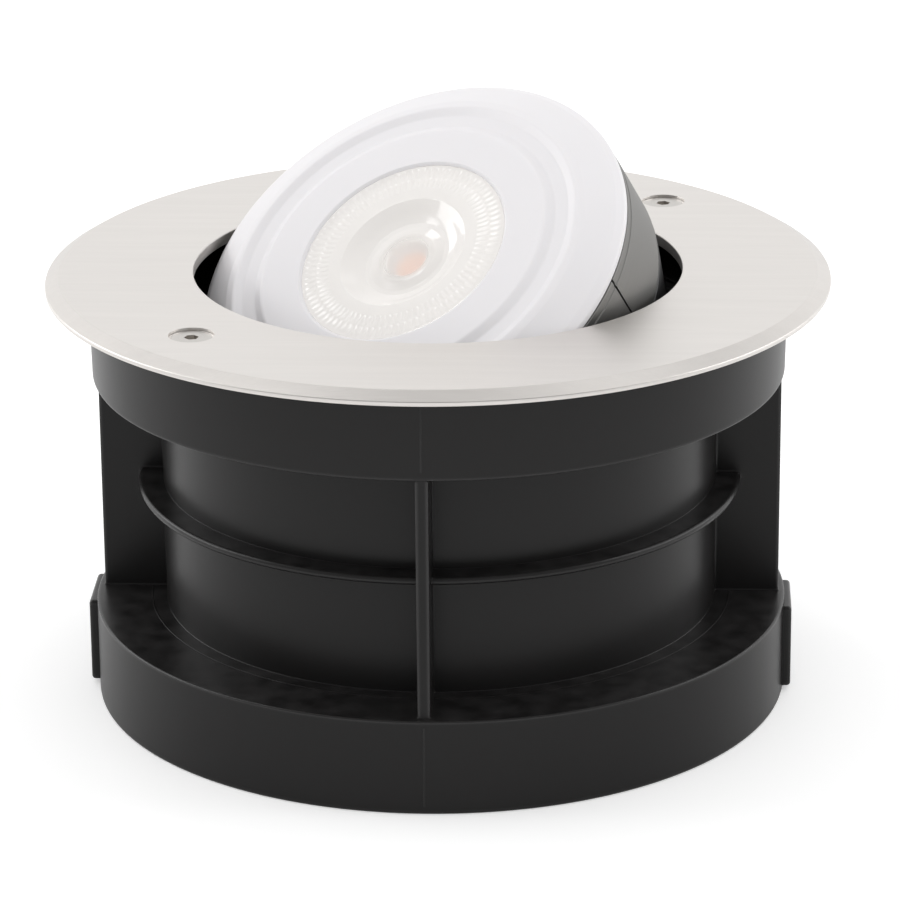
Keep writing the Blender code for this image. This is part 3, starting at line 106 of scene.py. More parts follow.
FIN_HEIGHTS = (
    22.4, 23.2, 23.45, 23.65, 23.9, 24.1, 24.4, 24.8, 25.3, 25.9, 26.6, 27.3, 28.2, 32.0, 38.0,
    44.0, 49.0, 51.2, 51.9, 52.2, 52.5, 52.65, 52.9, 53.2, 53.7, 54.2, 54.5, 54.75, 54.9, 55.2,
    55.5, 56.2, 58.5, 64.0, 70.0, 76.0, 80.0, 81.2, 81.5, 81.8, 82.0, 82.2, 82.5, 83.4,
)
PAD_BOX = ((83.0, -9.5, 1.2), (86.78, 9.5, 22.3))
PAD_EDGE = 0.9
ENTRY_HEIGHT = 11.75
ENTRY_SECTION = ((0.0, 92.0), (7.6, 92.0), (6.95, 86.78), (6.45, 86.3), (6.45, 79.0), (0.0, 79.0))
SEAM_BANDS = ((84.34, 84.61, 84.2, 101.2), (85.18, 85.18, 1.6, 22.2))
SEAM_FADE = 0.5
SEAM_SUNK = 0.1
# Corners of a parting line: share of its height, millimetres added, and share of its half width
SEAM_SHAPE = ((0.0, -0.6, -1.0), (0.0, -0.15, -1.0), (0.8, -0.02, -0.5), (1.0, 0.0, 0.0))
SEAM_SHAPE += ((0.8, -0.02, 0.5), (0.0, -0.15, 1.0), (0.0, -0.6, 1.0))
WEB_BOX = ((71.6, -0.9, 84.3), (82.6, 0.9, 99.0))
SCREW_CIRCLE = 77.08
SCREW_ANGLES = (45, 225)
PLATE_CIRCLE = 73.98
PLATE_ANGLES = (45, 135, 225, 315)
BOSS = (5.0, 84.3, 101.9)
BOSS_HOLE = (3.8, 91.2, 103.0)
PLATE_BOSS = (4.0, 3.3, 21.4)
PLATE_HOLE = (2.0, 2.0, 11.5)

# Base plate and its screws, from below
PLATE_SECTION = (
    (0.0, 3.0, 0.0), (81.88, 3.0, 0.4), (81.88, 0.0, 0.6), (66.4, 0.0, 0.3), (66.0, 0.5, 0.2),
    (63.2, 0.5, 0.2), (62.8, 0.0, 0.3), (31.0, 0.0, 0.4), (30.2, 0.7, 0.4), (8.0, 0.7, 0.4),
    (7.2, 0.35, 0.3), (2.6, 0.35, 0.2), (2.4, 0.6, 0.1), (0.0, 0.6, 0.0),
)
PLATE_SINK = ((0.0, 6.0), (2.0, 6.0), (2.0, 2.1), (3.7, 0.2), (3.9, -1.0), (0.0, -1.0))
PLATE_SCREW = (
    (0.0, 0.2, 0.0), (3.4, 0.2, 0.15), (3.35, 0.45, 0.1), (1.7, 2.1, 0.3), (1.7, 10.6, 0.3),
    (1.1, 11.2, 0.2), (0.0, 11.2, 0.0),
)
CROSS_SLOT = (0.45, 2.0, 1.3)
SLOT_EDGE = 0.1
PLATE_SCREW_TURN = 0.7

# Cover ring, its screws, inserts and seal
RING_SECTION = (
    (91.78, 107.0, 0.5), (94.98, 105.1, 0.3), (94.98, 104.0, 0.25), (85.58, 104.0, 0.08),
    (85.58, 104.2, 0.08), (59.19, 104.2, 0.2), (59.19, 107.0, 0.35),
)
RING_SINK = (
    (0.0, 1.0), (5.75, 1.0), (5.4, 0.0), (5.36, -0.75), (2.8, -2.7), (2.8, -5.0), (0.0, -5.0),
)
RING_SCREW = (
    (0.0, -0.55, 0.0), (4.95, -0.55, 0.25), (4.8, -0.9, 0.1), (2.5, -2.75, 0.4), (2.5, -13.6, 0.2),
    (1.9, -14.5, 0.2), (0.0, -14.5, 0.0),
)
RING_SOCKET = (1.75, 1.9)
RING_SCREW_TURN = 0.3
RING_TOP = 107.0
HEXAGON = range(0, 360, 60)
INSERT_SECTION = (
    (3.5, 0.0, 0.15), (3.5, -4.25, 0.1), (3.1, -4.85, 0.1), (3.1, -5.65, 0.1), (3.5, -6.25, 0.1),
    (3.5, -10.5, 0.15), (2.8, -10.5, 0.1), (2.8, 0.0, 0.15),
)
GASKET_SECTION = (
    (83.88, 103.9, 0.5), (83.88, 102.3, 0.5), (70.28, 102.3, 0.5), (70.28, 103.9, 0.5),
)
GASKET_HOLE = (3.8, 101.0, 105.0)

# Swivel frame and spring ring
FRAME_SECTION = (
    (68.88, 88.06, 0.4), (68.88, 85.56, 0.4), (61.28, 85.56, 0.4), (61.28, 88.06, 0.4),
)
EAR_FOOT = ((-12.0, -9.59), (12.0, -9.59), (12.0, -7.09), (6.3, -2.2))
EAR_FOOT_END = ((-6.3, -2.2), (-12.0, -7.09))
# The round head starts and ends a little under its middle
EAR_HEAD_ANGLES = [-12 + 204 * step / 24 for step in range(25)]
EAR_PLACE = (61.48, 63.48)
EAR_HEAD_RADIUS = 6.2
EAR_EDGE = 0.3
EAR_BORE = 2.3
SNAP_SECTION = ((70.28, 89.86, 0.3), (70.28, 88.36, 0.3), (65.98, 88.36, 0.3), (65.98, 89.86, 0.3))
SNAP_EYES = (9.5, 68.13)
SNAP_HOLE = (0.9, 86.0, 92.0)
SNAP_OPENING = 7.0

# Pivots, along the tilt axis
STUD_SECTION = (
    (0.0, 68.58, 0.0), (1.7, 68.58, 0.15), (2.0, 68.2, 0.15), (2.0, 61.18, 0.1),
    (3.2, 61.18, 0.25), (3.2, 57.3, 0.3), (4.8, 57.3, 0.3), (4.8, 55.8, 0.2), (0.0, 55.8, 0.0),
)
WASHER_SECTION = ((3.9, 64.58, 0.15), (3.9, 63.78, 0.15), (2.3, 63.78, 0.1), (2.3, 64.58, 0.1))
NUT_PLACE = (64.88, 68.18)
NUT_FLAT = 3.5
NUT_BORE = 2.3
NUT_EDGE = 0.25

# Lamp sleeve, heat sink and front, along the beam
SLEEVE_SECTION = (
    (55.5, 14.9, 0.3), (55.5, 13.35, 0.12), (55.3, 13.25, 0.1), (55.3, 12.55, 0.1),
    (55.5, 12.45, 0.12), (55.5, -5.2, 0.3), (54.0, -5.2, 0.2), (54.0, 14.9, 0.2),
)
SLEEVE_SPLIT = (100.4, 0.3)
SINK_SECTION = (
    (0.0, 12.0, 0.0), (51.2, 12.0, 0.6), (51.2, 14.9, 0.2), (53.7, 14.9, 0.2), (53.7, -5.5, 0.2),
    (55.5, -5.5, 0.5), (47.6, -36.0, 3.0), (44.8, -39.5, 2.0), (17.0, -39.5, 1.0),
    (17.0, -46.8, 0.4), (14.5, -46.8, 0.3), (14.5, -37.0, 0.5), (42.3, -37.0, 1.0),
    (45.1, -33.5, 2.0), (51.2, -5.5, 1.0), (51.2, 9.0, 1.0), (0.0, 9.0, 0.0),
)
SINK_FIN = ((16.2, -45.3), (33.2, -45.3), (43.2, -38.6), (16.2, -38.6))
SINK_FIN_HALF = 0.7
SINK_FIN_EDGE = 0.3
COVER_SECTION = (
    (26.6, 21.64, 0.03), (27.3, 22.2, 0.4), (37.2, 22.2, 2.0), (39.3, 21.0, 1.6),
    (42.7, 21.0, 1.6), (44.9, 21.95, 1.3), (47.0, 21.35, 3.0), (53.7, 18.05, 2.0),
    (55.5, 16.7, 0.7), (55.5, 15.2, 0.25), (52.6, 15.2, 0.3), (45.2, 19.6, 1.5), (28.4, 19.6, 0.8),
    (28.0, 18.0, 0.4), (24.7, 18.0, 0.3), (24.7, 19.6, 0.2), (26.6, 19.6, 0.1),
)
LENS_BOWL = (
    (0.0, 19.6, 0.0), (7.2, 19.3, 3.0), (9.7, 18.72, 1.2), (11.0, 18.7, 0.3), (13.2, 19.62, 9.0),
    (16.3, 21.55, 0.5), (19.3, 21.6, 0.4),
)
LENS_HEIGHT = 21.6
LENS_FLANK = (
    (26.55, 21.6, 0.03), (26.55, 19.8, 0.2), (24.5, 19.7, 0.4), (9.5, 16.7, 0.5), (7.9, 14.6, 0.3),
    (6.3, 14.6, 0.2), (5.9, 18.3, 1.2), (0.0, 18.7, 0.0),
)
# Faces of the lens with the white flank finish: the facetted sloping underside, and the foot
FLANK_SLOPE = -0.2
FLANK_RADII = (6.1, 24.6)
# The foot's white is painted light, in place of the dark that its clear wall shows
FOOT_RADII = (5.5, 6.4)
FOOT_TOP = 18.4
FLUTE_RADII = (19.5, 19.9, 20.8, 21.8, 22.5, 22.75, 23.0, 23.7, 24.7, 25.5, 25.9)
FLUTE_GAP = 22.75
FLUTE_FADE = 0.35
FLUTE_STEPS = 10
FLUTES_ABOVE = 21.0
BOARD_SECTION = ((0.0, 13.9, 0.0), (19.0, 13.9, 0.15), (19.0, 12.3, 0.15), (0.0, 12.3, 0.0))
BOARD_HOLES = (1.7, 8.0, 15.0)
CHIP_SECTION = (
    (0.0, 16.2, 0.0), (2.6, 16.05, 4.0), (4.1, 15.45, 0.4), (4.3, 15.4, 0.1), (4.55, 15.75, 0.2),
    (5.1, 15.75, 0.2), (5.3, 15.4, 0.1), (5.6, 15.4, 0.1), (5.6, 14.2, 0.1), (0.0, 14.2, 0.0),
)
BOARD_SCREW = (
    (0.0, 16.0, 0.0), (1.7, 15.95, 0.3), (2.4, 15.3, 0.4), (2.4, 14.2, 0.1), (1.4, 14.2, 0.1),
    (1.4, 9.0, 0.2), (0.0, 9.0, 0.0),
)
BOARD_SCREW_CIRCLE = 14.5

# Cable seals, along X and outwards
SEAL_OPEN = (
    (3.6, 86.38, 0.5), (6.15, 86.38, 0.6), (6.15, 81.5, 0.3), (7.75, 81.5, 0.5), (7.75, 79.7, 0.5),
    (3.6, 79.7, 0.4),
)
SEAL_CLOSED = (
    (0.0, 85.18, 0.0), (3.5, 85.18, 0.5), (4.8, 86.38, 0.5), (6.15, 86.38, 0.6), (6.15, 81.5, 0.3),
    (7.75, 81.5, 0.5), (7.75, 79.7, 0.5), (0.0, 79.7, 0.0),
)

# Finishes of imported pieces: name, material, colour, grain size and depth, roughness, refraction
REAR_FINISHES = (
    ("driver_board", "laminated_glass_epoxy", "#2c5a34", 0.35, 0.01, 0.38, 1.55),
    ("driver_capacitor", "shrunk_can_sleeve", "#2a2c33", 0.4, 0.01, 0.3, 1.54),
    ("driver_choke", "pressed_ferrite", "#3a3836", 0.5, 0.03, 0.6, 1.6),
    ("lamp_base", "moulded_grey_polyester", "#bdbcb8", 0.5, 0.02, 0.4, 1.57),
    ("lampholder", "fired_steatite", "#e6e1d6", 0.35, 0.02, 0.3, 1.6),
    ("holder_cover", "moulded_phenolic", "#b8b3aa", 0.6, 0.02, 0.45, 1.58),
)

# Studio and camera, in metres and degrees. Each softbox has its place, size and brightness
# Spans are how far a direction points back and up where a dimmer part of the surround fades in
FRONT_SPAN = (-0.05, -0.4)
CEILING_SPAN = (0.5, 0.75)
FLOOR_HALF = 6.0
FLOOR_CELLS = 8
FLOOR_LIFT = 0.26
LAMP_TARGET = (0.0, 0.0, 0.06)
CAMERA_PLACE = (0.05262, -1.03832, 0.43766)
CAMERA_YAW = 2.76
CAMERA_PITCH = 20.0
CAMERA_ROLL = -0.5
CAMERA_LENS = 180.0
SENSOR_WIDTH = 36.0
SOFTBOXES = (
    ("softbox_left", (-1.45, 0.45, 0.62), (1.3, 0.35), 3.5),
    ("softbox_right", (1.5, 0.45, 0.62), (1.3, 0.35), 2.6),
    ("softbox_top", (0.5, 0.5, 1.65), (1.0, 0.5), 0.6),
    ("softbox_key", (-0.8, 0.1, 1.33), (0.26, 0.2), 5.5),
    ("softbox_back", (-0.41, 0.61, 1.37), (0.1, 0.42), 4.5),
    ("softbox_edge_left", (-1.28, -0.08, 1.0), (0.35, 0.4), 3.5),
    ("softbox_edge_right", (1.2, -0.08, 1.05), (0.3, 0.4), 4.0),
)


def linear(code):
    """Turn an sRGB hex colour into linear light."""
    channels = [int(code[place : place + 2], 16) / 255 for place in (1, 3, 5)]
    return [c / 12.92 if c <= 0.04045 else ((c + 0.055) / 1.055) ** 2.4 for c in channels]


def length(name, default, description):
    """A size property in metres, from millimetres."""
    return FloatProperty(
        name=name, description=description, default=default * MM, unit="LENGTH", precision=5
    )


def colour(name, code, description):
    """A colour property, from an sRGB hex colour."""
    return FloatVectorProperty(
        name=name, description=description, default=linear(code), subtype="COLOR", min=0, max=1
    )


def share(name, default, description):
    """A property between zero and one."""
    return FloatProperty(
        name=name, description=description, default=default, min=0, max=1, subtype="FACTOR"
    )


def brightness(name, default, description):
    """A brightness property, where one is white."""
    return FloatProperty(name=name, description=description, default=default, min=0)


class PotLook(bpy.types.PropertyGroup):
    """Sizes and colours of the moulded pot and its base plate."""

    fin_thickness: length("Fin thickness", 3.0, "Thickness of the four radial fins")
    fin_fillet: length("Fin fillet", 0.4, "Hollow rounding where a fin grows out of the pot")
    fin_edge: length("Fin edge", 0.35, "Rounding of a fin's outer edges")
    seam_width: length("Seam width", 0.7, "Width of the mould's parting line")
    seam_height: length("Seam height", 0.12, "Height of the mould's parting line")
    plastic: colour("Plastic", "#191818", "Black of the moulded pot")
    dust: colour("Dust", "#2c2b2b", "Fine dust on the pot's level faces")
    plate: colour("Base plate", "#262425", "Black of the base plate")
    roughness: share("Roughness", 0.32, "Roughness of the spark-eroded mould finish")


class RingLook(bpy.types.PropertyGroup):
    """Colours and finish of the cover ring and its screws."""

    steel: colour("Steel", "#e6e2de", "Brushed stainless steel of the ring")
    streaks: colour("Streaks", "#e1ddd9", "Darker strokes of the brushing")
    screw: colour("Screws", "#d9d5d0", "Stainless steel of the ring's screws")
    roughness: share("Roughness", 0.38, "Roughness across the brushing")
    brushing: share("Brushing", 0.6, "How strongly the brushing stretches reflections")
    stroke_width: length("Stroke width", 0.35, "Width of the brushing strokes that show")


class LampLook(bpy.types.PropertyGroup):
    """Sizes and colours of the lamp."""

    flute_count: IntProperty(
        name="Flutes", description="Fine ridges round the lens", default=90, min=3
    )
    flute_height: length("Flute height", 0.095, "Height of the lens's ridges")
    sink_fins: IntProperty(
        name="Rear fins", description="Fins on the heat sink's back", default=20, min=3
    )
    cover: colour("Cover", "#eceaec", "Opal plastic of the lamp's cover")
    lens: colour("Lens", "#f8f5f2", "Clear plastic of the lens")
    sleeve: colour("Sleeve", "#908f8d", "Satin steel of the sleeve")
    sink: colour("Heat sink", "#59595a", "Cast aluminium of the heat sink")
    phosphor: colour("Phosphor", "#ff9540", "Phosphor over the light-emitting chip")
    clearness: share("Clearness", 0.25, "How much of the light the lens's outer part lets through")


class StudioLook(bpy.types.PropertyGroup):
    """Light, floor and camera."""

    floor: colour("Floor", "#fbfbfb", "Pale floor under the light")
    lamps: brightness("Lamps", 1.0, "Brightness of the softboxes")
    daylight: brightness("Fill", 0.84, "Even light from all round")
    slant: brightness("Slant", 0.1, "How much brighter the right is than the middle")
    front: brightness("Front", 0.36, "Brightness mirrored from the camera's side")
    ceiling: brightness("Ceiling", 0.55, "Brightness mirrored from overhead")
    lens: FloatProperty(
        name="Focal length",
        description="Camera lens in millimetres",
        default=CAMERA_LENS,
        unit="CAMERA",
    )


def rounded(section, closed):
    """Outline of a section in metres, with its corners rounded."""
    outline = []
    count = len(section)
    for index, (x, y, radius) in enumerate(section):
        corner = Vector((x, y))
        if radius == 0 or not closed and index in (0, count - 1):
            outline.append(corner * MM)
            continue
        neighbours = section[index - 1], section[(index + 1) % count]
        before, after = [Vector(other[:2]) - corner for other in neighbours]
        half = before.angle(after) / 2
        if half > NEARLY_STRAIGHT:
            outline.append(corner * MM)
            continue
        # Two roundings share the edge between them, and a little of it stays straight
        shares = [radius / (radius + other[2] + EDGE_LEFT) for other in neighbours]
        reach = min(radius / math.tan(half), before.length * shares[0], after.length * shares[1])
        radius = reach * math.tan(half)
        inward = (before.normalized() + after.normalized()).normalized()
        middle = corner + inward * radius / math.sin(half)
        start = corner + before.normalized() * reach - middle
        end = corner + after.normalized() * reach - middle
        turn = start.angle_signed(end)
        pieces = max(2, round(EDGE_STEPS * abs(turn) / (math.pi / 2)))
        for step in range(pieces + 1):
            outline.append((middle + Matrix.Rotation(-turn * step / pieces, 2) @ start) * MM)
    return outline


def lofted(work, rows, wrap=False, closed=True):
    """Join rows of vertices with faces. Where two rows share a vertex, a triangle closes them."""
    for first, second in zip(rows, rows[1:] + rows[:1] if wrap else rows[1:]):
        for index in range(len(first) if closed else len(first) - 1):
            after = (index + 1) % len(first)
            corners = []
            for corner in (first[index], first[after], second[after], second[index]):
                if corner not in corners:
                    corners.append(corner)
            if len(corners) > 2:
                work.faces.new(corners)
    if not wrap:
        work.faces.new(rows[0])
        work.faces.new(list(reversed(rows[-1])))
    bmesh.ops.recalc_face_normals(work, faces=work.faces)
    return work


def turned(section, steps, span=None, change=None):
    """Turn a section about Z, all round or between two angles, and let change move its points.

    A section that starts and ends on the axis is turned to a solid form, and any other to a ring.
    """
    closed = not (section[0][0] == section[-1][0] == 0)
    outline = rounded(section, closed)
    start, end = span or (0.0, math.tau)
    work = bmesh.new()
    axis = {}
    rows = []
    for step in range(steps + 1 if span else steps):
        angle = start + (end - start) * step / steps
        row = []
        for index, (radius, height) in enumerate(outline):
            if radius < ON_AXIS:
                if index not in axis:
                    axis[index] = work.verts.new((0, 0, height))
                row.append(axis[index])
                continue
            if change:
                height += change(radius, height, angle)
            place = (radius * math.cos(angle), radius * math.sin(angle), height)
            row.append(work.verts.new(place))
        rows.append(row)
    return lofted(work, rows, wrap=not span, closed=closed)


def cutter(points, matrix):
    """A cutter turned from plain (radius, height) points in millimetres."""
    work = turned([(radius, height, 0.0) for radius, height in points], SMALL_STEPS)
    work.transform(matrix)
    return work


def pillar(radius, bottom, top, steps, at=(0.0, 0.0)):
    """An upright cylinder between two heights, in millimetres."""
    work = bmesh.new()
    bmesh.ops.create_cone(
        work,
        cap_ends=True,
        segments=steps,
        radius1=radius * MM,
        radius2=radius * MM,
        depth=(top - bottom) * MM,
        matrix=Matrix.Translation(Vector((at[0], at[1], (bottom + top) / 2)) * MM),
    )
    return work


def bevelled(work, sides, edge, steps):
    """Round some edges of a bmesh, by a radius in millimetres."""
    bmesh.ops.bevel(
        work, geom=sides, offset=edge * MM, segments=steps, affect="EDGES", profile=0.5
    )
    return work


def slab(low, high, edge=0.0, steps=1):
    """A box between two corners in millimetres, with rounded edges."""
    work = bmesh.new()
    size = [(b - a) * MM for a, b in zip(low, high)]
    middle = [(a + b) / 2 * MM for a, b in zip(low, high)]
    place = Matrix.Translation(middle) @ Matrix.Diagonal((*size, 1))
    bmesh.ops.create_cube(work, size=1, matrix=place)
    return bevelled(work, list(work.edges), edge, steps) if edge else work


def extruded(outline, bottom, top, edge=0.0):
    """A plate from a closed outline in millimetres, with rounded edges."""
    work = bmesh.new()
    face = work.faces.new([work.verts.new((x * MM, y * MM, bottom * MM)) for x, y in outline])
    made = bmesh.ops.extrude_face_region(work, geom=[face])
    raised = [item for item in made["geom"] if isinstance(item, bmesh.types.BMVert)]
    bmesh.ops.translate(work, verts=raised, vec=(0, 0, (top - bottom) * MM))
    bmesh.ops.recalc_face_normals(work, faces=work.faces)
    if edge:
        level = [e for e in work.edges if abs(e.verts[0].co.z - e.verts[1].co.z) < LEVEL_WITHIN]
        bevelled(work, level, edge, PLATE_EDGE_STEPS)
    return work


def mesh_of(name, work):
    """Turn a bmesh into a mesh and free it."""
    mesh = bpy.data.meshes.new(name)
    work.to_mesh(mesh)
    work.free()
    return mesh


def merged(works):
    """Put several bmeshes into one."""
    whole = bmesh.new()
    for work in works:
        mesh = mesh_of("part", work)
        whole.from_mesh(mesh)
        bpy.data.meshes.remove(mesh)
    return whole


def pillars(sizes, steps, places):
    """Upright cylinders of one size at several places, as one bmesh."""
    return merged([pillar(*sizes, steps, at) for at in places])


def spun(angles, make, *sizes):
    """Copies of a bmesh that make builds from its sizes, turned about Z by angles in degrees."""
    works = []
    for angle in angles:
        work = make(*sizes)
        work.transform(Matrix.Rotation(math.radians(angle), 4, "Z"))
        works.append(work)
    return merged(works)


def shift(x, y, z=0.0):
    """Move by millimetres."""
    return Matrix.Translation((x * MM, y * MM, z * MM))


def on_circle(radius, angles):
    """Places on a circle in millimetres, at angles in degrees."""
    turns = [math.radians(angle) for angle in angles]
    return [(radius * math.cos(turn), radius * math.sin(turn)) for turn in turns]


def split(azimuth, half, radius):
    """Start and end of a turn that leaves a gap of twice half, in millimetres, at an azimuth."""
    middle, gap = math.radians(azimuth), math.asin(half / radius)
    return middle + gap, middle - gap + math.tau


def placed(name, data, matrix):
    """Put an object in the scene at a place."""
    made = bpy.data.objects.new(name, data)
    bpy.context.scene.collection.objects.link(made)
    made.matrix_world = matrix
    return made


def piece(name, work, material, matrix=Matrix.Identity(4)):
    """Make an object of a bmesh, with its material, at a place."""
    made = placed(name, mesh_of(name, work), matrix)
    made.data.materials.append(material)
    return made


def combine(target, work, operation):
    """Join a bmesh in an object's own place to it, or cut it away, for good."""
    tool = placed("tool", mesh_of("tool", work), target.matrix_world)
    change = target.modifiers.new("Combine", "BOOLEAN")
    change.operation = operation
    change.solver = "EXACT"
    change.object = tool
    bpy.context.view_layer.update()
    graph = bpy.context.evaluated_depsgraph_get()
    result = bpy.data.meshes.new_from_object(target.evaluated_get(graph))
    target.modifiers.remove(change)
    old = target.data
    target.data = result
    result.name = target.name
    bpy.data.meshes.remove(old)
    mesh = tool.data
    bpy.data.objects.remove(tool, do_unlink=True)
    bpy.data.meshes.remove(mesh)
    if not result.polygons:
        raise RuntimeError(f"{target.name} came out empty")


def finish_piece(made, body, *nodes):
    """Smooth a piece but for its sharp edges, ride it on its body and let it stand for nodes."""
    made.data.shade_smooth()
    made.data.set_sharp_from_angle(angle=SHARP)
    weighted = made.modifiers.new("Even shading", "WEIGHTED_NORMAL")
    weighted.keep_sharp = True
    weighted.weight = LARGE_FACE_WEIGHT
    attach(made, body)
    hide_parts(*nodes)


def turned_piece(name, section, material, place, body, node):
    """Turn a small round piece and finish it."""
    finish_piece(piece(name, turned(section, SMALL_STEPS), material, place), body, node)


def dress(node, material):
    """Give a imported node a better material."""
    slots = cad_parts[node].data.materials
    slots.clear()
    slots.append(material)


def lamp_place():
    """Place and turn of the leaning lamp."""
    lean = Matrix.Rotation(LEAN_AZIMUTH, 4, "Z") @ Matrix.Rotation(LEAN_ANGLE, 4, "Y")
    return Matrix.Translation(PIVOT) @ lean


def add(tree, kind, sockets, out=0, **settings):
    """Add a shader node with its settings and return one of its outputs.

    Its sockets are given numbers, colours or other nodes' outputs.
    """
    node = tree.nodes.new("ShaderNode" + kind)
    for name, value in settings.items():
        setattr(node, name, value)
    for socket, value in sockets.items():
        if isinstance(value, bpy.types.NodeSocket):
            tree.links.new(value, node.inputs[socket])
        else:
            node.inputs[socket].default_value = value
    return node.outputs[out] if node.outputs else None


def blank(name):
    """A new material, its empty node tree, and the place on a piece in the piece's own metres."""
    material = bpy.data.materials.new(name)
    material.use_nodes = True
    tree = material.node_tree
    tree.nodes.clear()
    return material, tree, add(tree, "TexCoord", {}, "Object")


def tint(rgb, factor=1.0):
    """A colour socket's value: a linear colour, darker or paler by a factor."""
    return (*[min(1.0, c * factor) for c in rgb], 1.0)


def spots(tree, place, size, detail=2.0, stretch=(1.0, 1.0, 1.0), roughness=0.5):
    """Pattern of soft spots about size millimetres across, stretched along the axes."""
    scale = [1 / (size * MM * s) for s in stretch]
    place = add(tree, "Mapping", {"Vector": place, "Scale": scale})
    sockets = {"Vector": place, "Scale": 1.0, "Detail": detail, "Roughness": roughness}
    return add(tree, "TexNoise", sockets)


def from_axis(tree, place):
    """Distance from a piece's own axis, in metres."""
    flat = add(tree, "VectorMath", {0: place, 1: (1.0, 1.0, 0.0)}, operation="MULTIPLY")
    return add(tree, "VectorMath", {0: flat}, "Value", operation="LENGTH")


def finished(material, shades, rough, reliefs, instead=None, **more):
    """Build a material's surface and return the material.

    Shades are a colour, and pairs of a pattern and the colour that it lays over the last. Rough is
    a pattern and the roughness at its two ends. Reliefs are pairs of a pattern and its depth in
    millimetres, the widest first. Instead is a mask and the shader that takes over there. More are
    values for the surface shader's sockets, with underscores in their names.
    """
    tree = material.node_tree
    base = shades[0]
    for pattern, over in shades[1:]:
        base = add(tree, "Mix", {0: pattern, 6: base, 7: over}, 2, data_type="RGBA")
    pattern, low, high = rough
    sockets = {"Base Color": base}
    sockets["Roughness"] = add(tree, "MapRange", {"Value": pattern, "To Min": low, "To Max": high})
    for pattern, depth in reliefs:
        bump = {"Height": pattern, "Distance": depth * MM}
        if "Normal" in sockets:
            bump["Normal"] = sockets["Normal"]
        sockets["Normal"] = add(tree, "Bump", bump)
    sockets.update({socket.replace("_", " "): value for socket, value in more.items()})
    shader = add(tree, "BsdfPrincipled", sockets)
    if instead:
        shader = add(tree, "MixShader", {0: instead[0], 1: shader, 2: instead[1]})
    add(tree, "OutputMaterial", {"Surface": shader})
    return material


def moulded_polypropylene(look):
    """Polypropylene moulded in a spark-eroded tool: black, satin and finely grained.

    Its level faces are duller with dust, and its outer edges are worn smooth, so that they catch
    thin lines of light. The edges are also painted paler: partly worn plastic, partly a painted
    highlight. The real grain is finer and is drawn 0.4 mm coarse, so that it shows.
    """
    material, tree, place = blank("moulded_polypropylene")
    flow = spots(tree, place, 22.0, 3.0, (1.0, 1.0, 2.4))
    up = add(tree, "SeparateXYZ", {0: add(tree, "NewGeometry", {}, "Normal")}, 2)
    level = add(tree, "MapRange", {"Value": up, "From Min": 0.75, "From Max": 1.0})
    speck = {"Value": spots(tree, place, 5.0), "From Min": 0.3, "From Max": 0.7}
    dusty = add(tree, "Math", {0: level, 1: add(tree, "MapRange", speck)}, operation="MULTIPLY")
    # An edge is where the body behind the skin is thinner than a millimetre; it is glossier there
    behind = {"Distance": 1.0 * MM}
    thin = add(tree, "AmbientOcclusion", behind, "AO", samples=6, inside=True, only_local=True)
    worn_edge_and_highlight = add(tree, "MapRange", {"Value": thin, "From Min": 0.9, "From Max": 0.55})
    low, high = look.roughness - 0.03, look.roughness + 0.04
    rough = add(tree, "MapRange", {"Value": flow, "To Min": low, "To Max": high})
    shades = [tint(look.plastic, 0.86), (flow, tint(look.plastic)), (dusty, tint(look.dust))]
    return finished(
        material,
        # The paler colour on the edges is partly worn plastic and partly a painted highlight
        [*shades, (worn_edge_and_highlight, tint(look.plastic, 1.6))],
        (worn_edge_and_highlight, rough, 0.2),
        [(spots(tree, place, 34.0, 1.0), 0.1), (spots(tree, place, 0.42, 3.0), 0.016)],
        Specular_IOR_Level=add(tree, "MapRange", {"Value": worn_edge_and_highlight, "To Min": 0.28, "To Max": 0.9}),
        IOR=1.49,
    )


def moulded_base_plastic(look):
    """Filled polypropylene of the base plate: coarser mould grain and paler flow lines."""
    material, tree, place = blank("moulded_filled_polypropylene")
    flow = spots(tree, place, 16.0, 4.0, (1.0, 2.5, 1.0))
    shades = [tint(look.plate, 0.8), (flow, tint(look.plate, 1.25))]
    reliefs = [(flow, 0.1), (spots(tree, place, 0.7, 3.0), 0.03)]
    rough = flow, 0.46, 0.58
    return finished(material, shades, rough, reliefs, IOR=1.49, Specular_IOR_Level=0.35)


def brushed_stainless(look):
    """Stainless steel sheet brushed along X: pale warm grey, with strokes that stretch reflections.

    Real strokes are finer than a tenth of a millimetre. They are drawn wider, so that they show.
    """
    material, tree, place = blank("brushed_stainless_steel")
    width = look.stroke_width / MM
    fine = spots(tree, place, width, 3.0, (60.0, 1.0, 1.0))
    broad = spots(tree, place, width * 9, 2.0, (14.0, 1.0, 1.0))
    strokes = add(tree, "Math", {0: fine, 1: broad}, operation="MULTIPLY")
    tone = add(tree, "MapRange", {"Value": strokes, "From Min": 0.12, "From Max": 0.42})
    cloud = add(tree, "MapRange", {"Value": spots(tree, place, 38.0), "To Max": 0.25})
    streaks = tint(look.streaks)
    return finished(
        material,
        [streaks, (tone, tint(look.steel)), (cloud, streaks)],
        (fine, look.roughness - 0.03, look.roughness + 0.04),
        [(fine, 0.003)],
        Tangent=add(tree, "Tangent", {}, direction_type="UV_MAP", uv_map="brushing"),
        Anisotropic=look.brushing,
        Metallic=1.0,
    )


def turned_metal(name, rgb, roughness, ring_width, shade=0.86):
    """Metal turned or pressed on a lathe: rings round its own axis and a soft sheen along them.

    The rings of the tool are finer on small pieces and are drawn coarser, so that they show.
    """
    material, tree, place = blank(name)
    level = add(tree, "SeparateXYZ", {0: place}, 2)
    along = add(tree, "CombineXYZ", {0: from_axis(tree, place), 1: level})
    rings = spots(tree, along, ring_width, 4.0)
    rough = spots(tree, place, 6.0, 3.0), roughness - 0.05, roughness + 0.07
    shades = [tint(rgb, shade), (rings, tint(rgb))]
    return finished(material, shades, rough, [(rings, 0.01)], Metallic=1.0)


